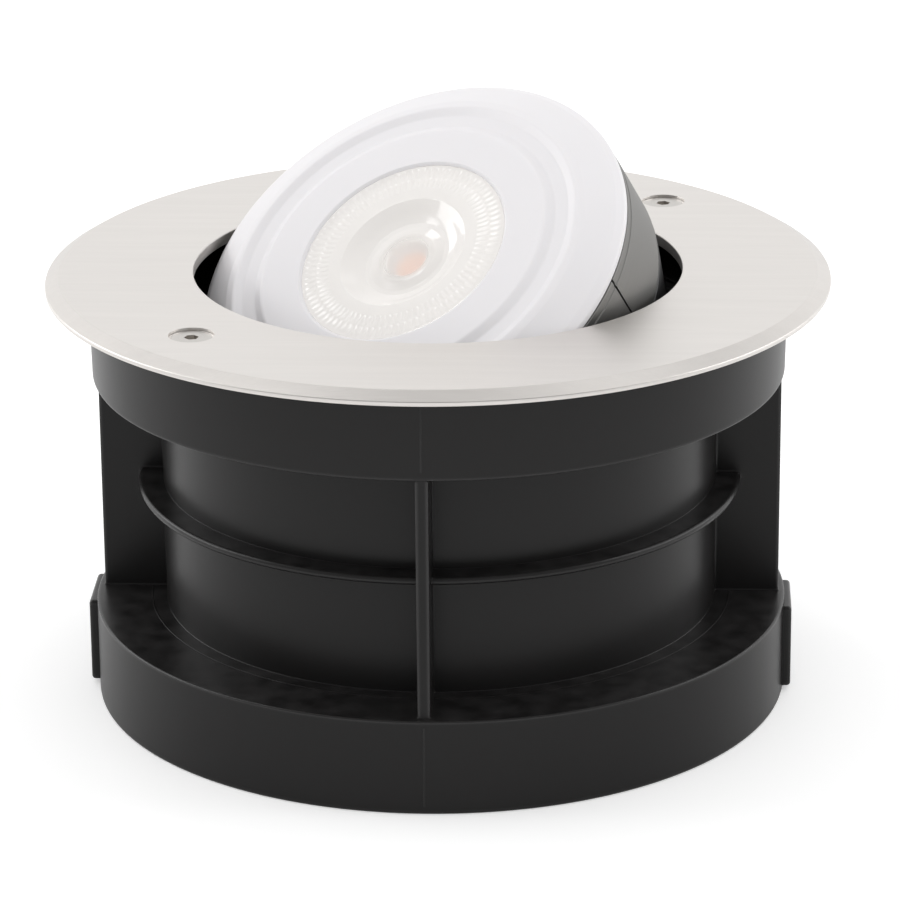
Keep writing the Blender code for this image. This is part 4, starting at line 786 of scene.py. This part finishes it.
def rubber(name, code):
    """Moulded rubber: near black, dull, with a slight bloom and a soft skin."""
    material, tree, place = blank(name)
    bloom = spots(tree, place, 3.0, 4.0)
    shades = [tint(linear(code), 0.8), (bloom, tint(linear(code), 1.5))]
    reliefs = [(spots(tree, place, 0.5), 0.02)]
    rough = bloom, 0.62, 0.78
    return finished(material, shades, rough, reliefs, IOR=1.5, Specular_IOR_Level=0.3)


def powder_coated_steel():
    """Black powder coat on steel: a fine orange-peel skin with a soft gloss."""
    material, tree, place = blank("black_powder_coated_steel")
    peel = spots(tree, place, 1.1, 1.0)
    shades = [tint(linear("#1c1c1d")), (peel, tint(linear("#272728")))]
    rough = spots(tree, place, 9.0), 0.4, 0.5
    return finished(material, shades, rough, [(peel, 0.05)], IOR=1.5)


def satin_steel(look):
    """Rolled stainless steel, ground satin: grey, with grinding lines that run round the sleeve.

    Real lines are finer than a tenth of a millimetre. They are drawn wider, so that they show.
    """
    material, tree, place = blank("ground_satin_steel")
    lines = spots(tree, place, 0.3, 3.0, (40.0, 40.0, 1.0))
    cloud = add(tree, "MapRange", {"Value": spots(tree, place, 12.0, 3.0), "To Max": 0.3})
    shades = [tint(look.sleeve, 0.8), (lines, tint(look.sleeve)), (cloud, tint(look.sleeve, 0.75))]
    return finished(material, shades, (lines, 0.46, 0.55), [(lines, 0.006)], Metallic=1.0)


def cast_aluminium(look):
    """Die-cast aluminium: dull grey, with a grainy skin and darker flow marks."""
    material, tree, place = blank("die_cast_aluminium")
    flow = spots(tree, place, 9.0, 5.0, roughness=0.6)
    shades = [tint(look.sink, 0.65), (flow, tint(look.sink, 1.1))]
    reliefs = [(spots(tree, place, 0.6, 4.0), 0.05)]
    return finished(material, shades, (flow, 0.42, 0.6), reliefs, Metallic=0.85)


def opal_polycarbonate(look):
    """Opal polycarbonate, moulded: cool white, with light scattered just under a satin skin."""
    material, tree, place = blank("moulded_opal_polycarbonate")
    return finished(
        material,
        [tint(look.cover, 0.985), (spots(tree, place, 14.0), tint(look.cover))],
        (spots(tree, place, 5.0), 0.3, 0.38),
        [(spots(tree, place, 0.5), 0.004)],
        IOR=1.585,
        Specular_IOR_Level=0.3,
        Subsurface_Weight=0.25,
        Subsurface_Radius=(1.0, 0.95, 0.9),
        Subsurface_Scale=1.5 * MM,
    )


def clear_acrylic(look):
    """Moulded acrylic: clear over the chip and milky further out, with a polished face.

    For light on its way to the pieces under it, it is clear glass that bends nothing.
    """
    material, tree, place = blank("moulded_clear_acrylic")
    milky = {"Value": from_axis(tree, place), "From Min": 5.0 * MM, "From Max": 7.5 * MM}
    milky = add(tree, "MapRange", milky)
    passed = {"Value": milky, "To Min": 0.6, "To Max": look.clearness}
    shadow = add(tree, "LightPath", {}, "Is Shadow Ray")
    bounced = add(tree, "LightPath", {}, "Is Diffuse Ray")
    lit = add(tree, "Math", {0: shadow, 1: bounced}, operation="MAXIMUM")
    return finished(
        material,
        [tint(look.lens, 0.97), (spots(tree, place, 5.0), tint(look.lens))],
        (milky, 0.36, 0.08),
        [(spots(tree, place, 2.0, 1.0), 0.01)],
        instead=(lit, add(tree, "BsdfTransparent", {"Color": (0.96, 0.96, 0.96, 1)})),
        Transmission_Weight=add(tree, "MapRange", passed),
        IOR=1.49,
    )


def flank_and_painted_foot(look):
    """Acrylic flank of the lens: its fine facets turn light back, so it looks like white enamel."""
    # The same white covers the foot round the chip: painted light where the clear wall shows dark
    material, tree, place = blank("white_acrylic_flank_and_painted_foot")
    facets = spots(tree, place, 0.6)
    shades = [tint(look.lens, 0.9), (facets, tint(look.lens))]
    return finished(material, shades, (facets, 0.3, 0.4), [(facets, 0.02)], IOR=1.49)


def coated_board():
    """Aluminium circuit board under white lacquer, with a printed grain and a soft gloss."""
    material, tree, place = blank("white_lacquered_board")
    grain = spots(tree, place, 0.8)
    shades = [tint(linear("#e9e8e4")), (grain, tint(linear("#f3f2ef")))]
    return finished(material, shades, (grain, 0.35, 0.45), [(grain, 0.01)], IOR=1.5)


def phosphor_silicone(look):
    """Silicone filled with phosphor, cast over the chip: orange in the middle, paler at its dam."""
    material, tree, place = blank("cast_phosphor_silicone")
    dam = {"Value": from_axis(tree, place), "From Min": 4.2 * MM, "From Max": 4.35 * MM}
    dam = add(tree, "MapRange", dam)
    grain = spots(tree, place, 0.6, 3.0)
    shades = [tint(look.phosphor), (grain, tint(look.phosphor, 1.12))]
    shades.append((dam, tint(linear("#f4f2ee"))))
    return finished(material, shades, (grain, 0.3, 0.42), [(grain, 0.01)], IOR=1.41)


def small_moulding(name, code, size, depth, roughness, ior):
    """Small moulded or fired piece: uneven colour, a grain of its own size and a soft gloss."""
    material, tree, place = blank(name)
    cloud = spots(tree, place, size * 12, 3.0)
    shades = [tint(linear(code), 0.86), (cloud, tint(linear(code), 1.08))]
    reliefs = [(spots(tree, place, size, 3.0), depth)]
    rough = cloud, roughness - 0.05, roughness + 0.08
    return finished(material, shades, rough, reliefs, IOR=ior)


def fin_work(look):
    """One radial fin along X, with hollow fillets wherever it grows out of the pot."""
    half = look.fin_thickness / MM / 2
    fillet = look.fin_fillet / MM
    edge = look.fin_edge / MM
    cove = WALL_RADIUS + COVE_RADIUS, SHELF_HEIGHT + COVE_RADIUS

    def clear(radius, height):
        """Distance from a point to the pot's section."""
        ends = min(radius - WALL_RADIUS, height - SHELF_HEIGHT, BAND_HEIGHT - height)
        if radius < cove[0] and height < cove[1]:
            ends = COVE_RADIUS - math.hypot(radius - cove[0], height - cove[1])
        past = max(radius - RIB_NOSE_RADIUS, 0.0)
        return min(ends, math.hypot(past, height - RIB_HEIGHT) - RIB_HALF)

    def flare(distance):
        """Extra half thickness at a distance from the pot."""
        if distance >= fillet:
            return 0.0
        inward = min(fillet - distance, fillet)
        return fillet - math.sqrt(max(fillet**2 - inward**2, 0.0))

    work = bmesh.new()
    rows = []
    for height in FIN_HEIGHTS:
        ends = min(height - SHELF_HEIGHT, BAND_HEIGHT - height)
        tip = FIN_EDGE_RADIUS + min(flare(ends), FIN_FLARE_LIMIT) - edge
        whole = [(r, half + flare(clear(r, height))) for r in FIN_RADII]
        flank = whole[-1][1] - edge
        for step in range(EDGE_STEPS + 1):
            angle = math.pi / 2 * step / EDGE_STEPS
            whole.append((tip + edge * math.sin(angle), flank + edge * math.cos(angle)))
        whole += [(r, -y) for r, y in reversed(whole)]
        rows.append([work.verts.new(Vector((r, y, height)) * MM) for r, y in whole])
    return lofted(work, rows)


def seam_work(look, low_radius, high_radius, bottom, top):
    """Raised parting line along X on a band, half round in section, sinking in at both ends."""
    half = look.seam_width / MM / 2
    rise = look.seam_height / MM
    steps = 0.0, 0.5 * SEAM_FADE, SEAM_FADE
    work = bmesh.new()
    rows = []
    for height in [bottom + step for step in steps] + [top - step for step in reversed(steps)]:
        fade = min((height - bottom) / SEAM_FADE, (top - height) / SEAM_FADE, 1.0)
        radius = low_radius + (high_radius - low_radius) * (height - bottom) / (top - bottom)
        crown = (rise + SEAM_SUNK) * fade - SEAM_SUNK
        row = [(radius + crown * up + sunk, half * side) for up, sunk, side in SEAM_SHAPE]
        rows.append([work.verts.new(Vector((r, y, height)) * MM) for r, y in row])
    return lofted(work, rows)


def entry_place(turn):
    """Place of a cable entry, with its axis level and pointing outwards."""
    outwards = Matrix.Rotation(math.pi / 2, 4, "Y")
    return Matrix.Rotation(turn, 4, "Z") @ shift(0, 0, ENTRY_HEIGHT) @ outwards


class GROUNDLIGHT_OT_pot(bpy.types.Operator):
    """Build the black moulded pot, with its bands, rib, fins, cable pads and parting lines"""

    bl_idname = "ground_light.pot"
    bl_label = "Moulded pot"

    def execute(self, context):
        look = context.scene.ground_light_pot
        pot = piece("pot_moulding", turned(POT_SECTION, LARGE_STEPS), moulded_polypropylene(look))
        combine(pot, spun((0, 90, 180, 270), fin_work, look), "UNION")
        combine(pot, spun((0, 180), slab, *PAD_BOX, PAD_EDGE, EDGE_STEPS), "UNION")
        for band in SEAM_BANDS:
            combine(pot, spun((90, 270), seam_work, look, *band), "UNION")
        combine(pot, spun(range(0, 360, 30), slab, *WEB_BOX), "UNION")
        screws, posts = on_circle(SCREW_CIRCLE, SCREW_ANGLES), on_circle(PLATE_CIRCLE, PLATE_ANGLES)
        for at in screws:
            combine(pot, pillar(*BOSS, HOLE_STEPS, at), "UNION")
        combine(pot, pillars(PLATE_BOSS, PIN_STEPS, posts), "UNION")
        holes = [pillars(BOSS_HOLE, HOLE_STEPS, screws), pillars(PLATE_HOLE, PIN_STEPS, posts)]
        holes += [cutter(ENTRY_SECTION, entry_place(turn)) for turn in (0.0, math.pi)]
        combine(pot, merged(holes), "DIFFERENCE")
        finish_piece(pot, "pot_assembly", "ground_pot")
        return {"FINISHED"}


class GROUNDLIGHT_OT_base_plate(bpy.types.Operator):
    """Build the base plate and the four screws that hold it"""

    bl_idname = "ground_light.base_plate"
    bl_label = "Base plate and screws"

    def execute(self, context):
        plastic = moulded_base_plastic(context.scene.ground_light_pot)
        zinc = turned_metal("zinc_plated_steel", linear("#bfc0bd"), 0.32, 0.3)
        plate = piece("base_plate_moulding", turned(PLATE_SECTION, LARGE_STEPS), plastic)
        places = on_circle(PLATE_CIRCLE, PLATE_ANGLES)
        combine(plate, merged([cutter(PLATE_SINK, shift(*at)) for at in places]), "DIFFERENCE")
        finish_piece(plate, "pot_assembly", "base_plate")
        half, reach, depth = CROSS_SLOT
        for index, at in enumerate(places):
            place = shift(*at) @ Matrix.Rotation(index * PLATE_SCREW_TURN, 4, "Z")
            name = f"plate_screw_{index + 1}"
            screw = piece(name + "_turned", turned(PLATE_SCREW, SMALL_STEPS), zinc, place)
            for x, y in ((reach, half), (half, reach)):
                slot = slab((-x, -y, -OVERSHOOT), (x, y, depth), SLOT_EDGE)
                combine(screw, slot, "DIFFERENCE")
            finish_piece(screw, "pot_assembly", name)
        return {"FINISHED"}


class GROUNDLIGHT_OT_cover_ring(bpy.types.Operator):
    """Build the brushed cover ring, its seal, its two screws and the inserts they turn into"""

    bl_idname = "ground_light.cover_ring"
    bl_label = "Cover ring and screws"

    def execute(self, context):
        look = context.scene.ground_light_ring
        steel = brushed_stainless(look)
        bright = turned_metal("turned_stainless_steel", look.screw, 0.3, 0.25, 0.8)
        brass = turned_metal("turned_brass", linear("#d0ad68"), 0.3, 0.25, 0.8)
        seal = rubber("moulded_epdm", "#262525")
        ring = piece("cover_ring_plate", turned(RING_SECTION, LARGE_STEPS), steel)
        places = on_circle(SCREW_CIRCLE, SCREW_ANGLES)
        sinks = [cutter(RING_SINK, shift(*at, RING_TOP)) for at in places]
        combine(ring, merged(sinks), "DIFFERENCE")
        brushing = ring.data.uv_layers.new(name="brushing")
        for loop in ring.data.loops:
            brushing.data[loop.index].uv = ring.data.vertices[loop.vertex_index].co.xy
        finish_piece(ring, "pot_assembly", "cover_ring")
        wide, deep = RING_SOCKET
        for index, at in enumerate(places):
            place = shift(*at, RING_TOP) @ Matrix.Rotation(index + RING_SCREW_TURN, 4, "Z")
            name = f"ring_screw_{index + 1}"
            screw = piece(name + "_turned", turned(RING_SCREW, SMALL_STEPS), bright, place)
            socket = extruded(on_circle(wide, HEXAGON), -deep, OVERSHOOT)
            combine(screw, socket, "DIFFERENCE")
            finish_piece(screw, "pot_assembly", name)
            name = f"insert_{index + 1}_turned"
            place, node = shift(*at, POT_TOP), f"threaded_insert_{index + 1}"
            turned_piece(name, INSERT_SECTION, brass, place, "pot_assembly", node)
        gasket = piece("ring_seal", turned(GASKET_SECTION, LARGE_STEPS), seal)
        combine(gasket, pillars(GASKET_HOLE, HOLE_STEPS, places), "DIFFERENCE")
        finish_piece(gasket, "pot_assembly", "ring_gasket")
        return {"FINISHED"}


class GROUNDLIGHT_OT_cable_entries(bpy.types.Operator):
    """Build the two rubber cable seals and finish the terminal block"""

    bl_idname = "ground_light.cable_entries"
    bl_label = "Cable seals and terminals"

    def execute(self, context):
        seal = rubber("moulded_seal_rubber", "#1f1e1e")
        for node, section, turn in (
            ("cable_seal_left", SEAL_OPEN, math.pi),
            ("cable_seal_right", SEAL_CLOSED, 0.0),
        ):
            name, place = node + "_moulded", entry_place(turn)
            turned_piece(name, section, seal, place, "pot_assembly", node)
        block = small_moulding("moulded_white_polyamide", "#e3e0d6", 0.5, 0.02, 0.42, 1.53)
        dress("terminal_block", block)
        clamp = turned_metal("nickel_plated_brass", linear("#d9cfa9"), 0.28, 0.3)
        for index in (1, 2, 3):
            dress(f"terminal_screw_{index}", clamp)
        return {"FINISHED"}


class GROUNDLIGHT_OT_swivel(bpy.types.Operator):
    """Build the swivel frame with its two ears, and the spring ring that holds it down"""

    bl_idname = "ground_light.swivel"
    bl_label = "Swivel frame and spring ring"

    def execute(self, context):
        coat = powder_coated_steel()
        spring = turned_metal("phosphated_spring_steel", linear("#6c6b69"), 0.4, 0.4, 0.75)
        turn = Matrix.Rotation(LEAN_AZIMUTH, 4, "Z")
        swivel = piece("swivel_frame_pressing", turned(FRAME_SECTION, LARGE_STEPS), coat, turn)
        inner, outer = EAR_PLACE
        on_axis = Matrix.Translation((0, 0, PIVOT.z)) @ Matrix.Rotation(math.pi / 2, 4, "X")
        outline = [*EAR_FOOT, *on_circle(EAR_HEAD_RADIUS, EAR_HEAD_ANGLES), *EAR_FOOT_END]
        for low, high in ((-outer, -inner), (inner, outer)):
            ear = extruded(outline, low, high, EAR_EDGE)
            ear.transform(on_axis)
            combine(swivel, ear, "UNION")
        bore = pillar(EAR_BORE, -outer - OVERSHOOT, outer + OVERSHOOT, SMALL_STEPS)
        bore.transform(on_axis)
        combine(swivel, bore, "DIFFERENCE")
        finish_piece(swivel, "swivel", "swivel_frame")
        side, circle = SNAP_EYES
        span = split(90.0, SNAP_OPENING, circle)
        ring = piece("spring_ring", turned(SNAP_SECTION, LARGE_STEPS, span), spring)
        eyes = pillars(SNAP_HOLE, PIN_STEPS, ((side, circle), (-side, circle)))
        combine(ring, eyes, "DIFFERENCE")
        finish_piece(ring, "pot_assembly", "snap_ring")
        return {"FINISHED"}


class GROUNDLIGHT_OT_pivots(bpy.types.Operator):
    """Build the studs, washers and nuts of the tilt axis"""

    bl_idname = "ground_light.pivots"
    bl_label = "Tilt pivots"

    def execute(self, context):
        steel = turned_metal("turned_bright_steel", linear("#b9b8b6"), 0.3, 0.25, 0.8)
        bottom, top = NUT_PLACE
        hexagon = on_circle(NUT_FLAT / math.cos(math.pi / 6), HEXAGON)
        for index, side in ((1, 1), (2, -1)):
            place = lamp_place() @ Matrix.Rotation(-side * math.pi / 2, 4, "X")
            for node, section, made in (
                (f"pivot_stud_{index}", STUD_SECTION, "_turned"),
                (f"pivot_washer_{index}", WASHER_SECTION, "_pressed"),
            ):
                turned_piece(node + made, section, steel, place, "lamp_head", node)
            node = f"pivot_nut_{index}"
            nut = piece(node + "_milled", extruded(hexagon, bottom, top, NUT_EDGE), steel, place)
            bore = pillar(NUT_BORE, bottom - OVERSHOOT, top + OVERSHOOT, HOLE_STEPS)
            combine(nut, bore, "DIFFERENCE")
            finish_piece(nut, "lamp_head", node)
        return {"FINISHED"}


def board_holes():
    """Cutter for the two screw holes in the circuit board and the heat sink's deck."""
    places = ((BOARD_SCREW_CIRCLE, 0.0), (-BOARD_SCREW_CIRCLE, 0.0))
    return pillars(BOARD_HOLES, PIN_STEPS, places)


class GROUNDLIGHT_OT_lamp_body(bpy.types.Operator):
    """Build the lamp's split steel sleeve and its finned heat sink"""

    bl_idname = "ground_light.lamp_body"
    bl_label = "Sleeve and heat sink"

    def execute(self, context):
        look = context.scene.ground_light_lamp
        azimuth, half = SLEEVE_SPLIT
        work = turned(SLEEVE_SECTION, LARGE_STEPS, split(azimuth, half, SLEEVE_SECTION[0][0]))
        sleeve = piece("lamp_sleeve_rolled", work, satin_steel(look), lamp_place())
        finish_piece(sleeve, "lamp_head", "lamp_sleeve")
        work = turned(SINK_SECTION, MEDIUM_STEPS)
        sink = piece("heat_sink_casting", work, cast_aluminium(look), lamp_place())
        turns = [(index + 0.5) * 360 / look.sink_fins for index in range(look.sink_fins)]
        combine(sink, spun(turns, sink_fin_work), "UNION")
        combine(sink, board_holes(), "DIFFERENCE")
        finish_piece(sink, "lamp_head", "heat_sink")
        return {"FINISHED"}


def sink_fin_work():
    """One rear fin along X, tapered, with rounded edges."""
    work = extruded(SINK_FIN, -SINK_FIN_HALF, SINK_FIN_HALF, SINK_FIN_EDGE)
    work.transform(Matrix.Rotation(math.pi / 2, 4, "X"))
    return work


class GROUNDLIGHT_OT_lamp_front(bpy.types.Operator):
    """Build the opal cover, the fluted lens and the light source under it"""

    bl_idname = "ground_light.lamp_front"
    bl_label = "Cover, lens and light source"

    def execute(self, context):
        look = context.scene.ground_light_lamp
        place = lamp_place()
        opal = opal_polycarbonate(look)
        cover = piece("cover_moulding", turned(COVER_SECTION, LARGE_STEPS), opal, place)
        finish_piece(cover, "lamp_head", "diffuser_cover")
        lens = piece("lens_moulding", lens_work(look), clear_acrylic(look), place)
        lens.data.materials.append(flank_and_painted_foot(look))
        for face in lens.data.polygons:
            radius, height = face.center.xy.length / MM, face.center.z / MM
            under = face.normal.z < FLANK_SLOPE and FLANK_RADII[0] < radius < FLANK_RADII[1]
            # The foot round the chip gets the white too: painted light in place of its clear wall's
            # dark
            if under or FOOT_RADII[0] < radius < FOOT_RADII[1] and height < FOOT_TOP:
                face.material_index = 1
        finish_piece(lens, "lamp_head", "lens")
        board = piece("led_board_disc", turned(BOARD_SECTION, MEDIUM_STEPS), coated_board(), place)
        combine(board, board_holes(), "DIFFERENCE")
        finish_piece(board, "lamp_head", "led_board")
        silicone = phosphor_silicone(look)
        turned_piece("led_chip_cast", CHIP_SECTION, silicone, place, "lamp_head", "led_chip")
        steel = turned_metal("cold_headed_steel", linear("#c4c3c0"), 0.3, 0.25)
        for index, x in ((1, -BOARD_SCREW_CIRCLE), (2, BOARD_SCREW_CIRCLE)):
            node, at = f"board_screw_{index}", place @ shift(x, 0)
            turned_piece(node + "_headed", BOARD_SCREW, steel, at, "lamp_head", node)
        return {"FINISHED"}


def lens_work(look):
    """The lens. Two rows of ridges on its face lie half a step apart and fade at their edges."""
    count, height = look.flute_count, look.flute_height
    inner, middle, outer = [r * MM for r in (FLUTE_RADII[0], FLUTE_GAP, FLUTE_RADII[-1])]

    def flutes(radius, level, angle):
        """How far a point of the face sinks between the ridges."""
        if level < FLUTES_ABOVE * MM or not inner < radius < outer:
            return 0.0
        edge = min(radius - inner, abs(radius - middle), outer - radius)
        phase = math.pi if radius > middle else 0.0
        fade = min(edge / (FLUTE_FADE * MM), 1.0)
        return -height * fade * (0.5 - 0.5 * math.cos(count * angle + phase))

    face = [(radius, LENS_HEIGHT, 0.0) for radius in FLUTE_RADII]
    return turned([*LENS_BOWL, *face, *LENS_FLANK], count * FLUTE_STEPS, change=flutes)


class GROUNDLIGHT_OT_lamp_rear(bpy.types.Operator):
    """Finish the driver, the lamp's base with its pins, and the lampholder"""

    bl_idname = "ground_light.lamp_rear"
    bl_label = "Driver, base and lampholder"

    def execute(self, context):
        for node, *finish in REAR_FINISHES:
            dress(node, small_moulding(*finish))
        nickel = turned_metal("nickel_plated_pins", linear("#cfc9bb"), 0.22, 0.25)
        for index in (1, 2):
            dress(f"contact_pin_{index}", nickel)
        return {"FINISHED"}


class GROUNDLIGHT_OT_studio(bpy.types.Operator):
    """Set the pale floor, the soft light and the camera"""

    bl_idname = "ground_light.studio"
    bl_label = "Studio"

    def execute(self, context):
        look = context.scene.ground_light_studio
        context.scene.view_settings.view_transform = "Standard"
        make_floor(look)
        make_world(look)
        for name, place, size, level in SOFTBOXES:
            make_softbox(name, place, size, level * look.lamps)
        make_camera(look)
        return {"FINISHED"}


def make_floor(look):
    """Pale floor. The camera sees it a little brighter: it is white but keeps its shadows."""
    material, tree, place = blank("matt_paper_floor")
    fibre = add(tree, "MapRange", {"Value": spots(tree, place, 2.5, 3.0), "To Max": 0.4})
    shades = {0: fibre, 6: tint(look.floor), 7: tint(look.floor, 0.99)}
    paper = add(tree, "BsdfDiffuse", {"Color": add(tree, "Mix", shades, 2, data_type="RGBA")})
    lift = add(tree, "Emission", {"Color": (1, 1, 1, 1), "Strength": FLOOR_LIFT})
    surface = {
        0: add(tree, "LightPath", {}, "Is Camera Ray"),
        1: paper,
        2: add(tree, "AddShader", {0: paper, 1: lift}),
    }
    add(tree, "OutputMaterial", {"Surface": add(tree, "MixShader", surface)})
    work = bmesh.new()
    cells = {"x_segments": FLOOR_CELLS, "y_segments": FLOOR_CELLS}
    bmesh.ops.create_grid(work, **cells, size=FLOOR_HALF)
    floor = piece("studio_floor", work, material)


def make_world(look):
    """Even light from all round. Mirrored, it is white behind, and dimmer in front and above."""
    world = bpy.data.worlds.new("studio_surround")
    world.use_nodes = True
    tree = world.node_tree
    tree.nodes.clear()
    direction = add(tree, "TexCoord", {}, "Generated")
    across, back, height = [add(tree, "SeparateXYZ", {0: direction}, axis) for axis in range(3)]
    front, above = [
        add(tree, "MapRange", {"Value": value, "From Min": span[0], "From Max": span[1]})
        for value, span in ((back, FRONT_SPAN), (height, CEILING_SPAN))
    ]
    level = add(tree, "MapRange", {"Value": above, "To Min": 1.0, "To Max": look.ceiling})
    level = add(tree, "MapRange", {"Value": front, "To Min": level, "To Max": look.front})
    camera = add(tree, "LightPath", {}, "Is Camera Ray")
    level = add(tree, "MapRange", {"Value": camera, "To Min": level, "To Max": 1.0})
    fill = {"Value": across, "From Min": -1.0, "To Min": look.daylight - look.slant}
    fill = add(tree, "MapRange", {**fill, "To Max": look.daylight + look.slant})
    seen = camera
    for kind in ("Is Glossy Ray", "Is Transmission Ray"):
        ray = add(tree, "LightPath", {}, kind)
        seen = add(tree, "Math", {0: seen, 1: ray}, operation="MAXIMUM")
    even = add(tree, "Background", {"Color": (1, 1, 1, 1), "Strength": fill})
    white = add(tree, "Background", {"Color": (1, 1, 1, 1), "Strength": level})
    add(tree, "OutputWorld", {"Surface": add(tree, "MixShader", {0: seen, 1: even, 2: white})})
    bpy.context.scene.world = world


def make_softbox(name, place, size, level):
    """Soft lamp aimed at the object. Level is its brightness against white."""
    data = bpy.data.lights.new(name, "AREA")
    data.shape = "RECTANGLE"
    data.size, data.size_y = size
    data.energy = level * math.pi * size[0] * size[1]
    lamp = placed(name, data, Matrix.Translation(place))
    aim = Vector(LAMP_TARGET) - Vector(place)
    lamp.rotation_euler = aim.to_track_quat("-Z", "Y").to_euler()


def make_camera(look):
    """Camera at the photograph's place and angle."""
    data = bpy.data.cameras.new("photograph_camera")
    data.sensor_width = SENSOR_WIDTH
    data.lens = look.lens
    turn = Matrix.Rotation(math.radians(CAMERA_YAW), 4, "Z")
    tilt = Matrix.Rotation(math.radians(90.0 - CAMERA_PITCH), 4, "X")
    roll = Matrix.Rotation(math.radians(CAMERA_ROLL), 4, "Z")
    place = Matrix.Translation(CAMERA_PLACE) @ turn @ tilt @ roll
    bpy.context.scene.camera = placed("photograph_camera", data, place)


OPERATORS = (
    GROUNDLIGHT_OT_studio,
    GROUNDLIGHT_OT_pot,
    GROUNDLIGHT_OT_base_plate,
    GROUNDLIGHT_OT_cover_ring,
    GROUNDLIGHT_OT_cable_entries,
    GROUNDLIGHT_OT_swivel,
    GROUNDLIGHT_OT_pivots,
    GROUNDLIGHT_OT_lamp_body,
    GROUNDLIGHT_OT_lamp_front,
    GROUNDLIGHT_OT_lamp_rear,
)
LOOKS = {
    "ground_light_pot": PotLook,
    "ground_light_ring": RingLook,
    "ground_light_lamp": LampLook,
    "ground_light_studio": StudioLook,
}


class GROUNDLIGHT_PT_panel(bpy.types.Panel):
    """Sidebar panel with the sizes, colours and building steps"""

    bl_idname = "GROUNDLIGHT_PT_panel"
    bl_label = "Ground light"
    bl_space_type = "VIEW_3D"
    bl_region_type = "UI"
    bl_category = "Ground light"

    def draw(self, context):
        layout = self.layout
        for name, group in LOOKS.items():
            box = layout.box()
            for prop in group.__annotations__:
                box.prop(getattr(context.scene, name), prop)
        for operator in OPERATORS:
            layout.operator(operator.bl_idname)


CLASSES = (*LOOKS.values(), *OPERATORS, GROUNDLIGHT_PT_panel)


def register():
    """Register the classes and hang the looks on the scene."""
    for kind in CLASSES:
        bpy.utils.register_class(kind)
    for name, group in LOOKS.items():
        setattr(bpy.types.Scene, name, PointerProperty(type=group))


def unregister():
    """Take the looks off the scene and unregister the classes."""
    for name in LOOKS:
        delattr(bpy.types.Scene, name)
    for kind in reversed(CLASSES):
        bpy.utils.unregister_class(kind)


def main():
    """Build everything in order."""
    register()
    for operator in OPERATORS:
        group, name = operator.bl_idname.split(".")
        getattr(getattr(bpy.ops, group), name)()


if __name__ == "__main__":
    main()
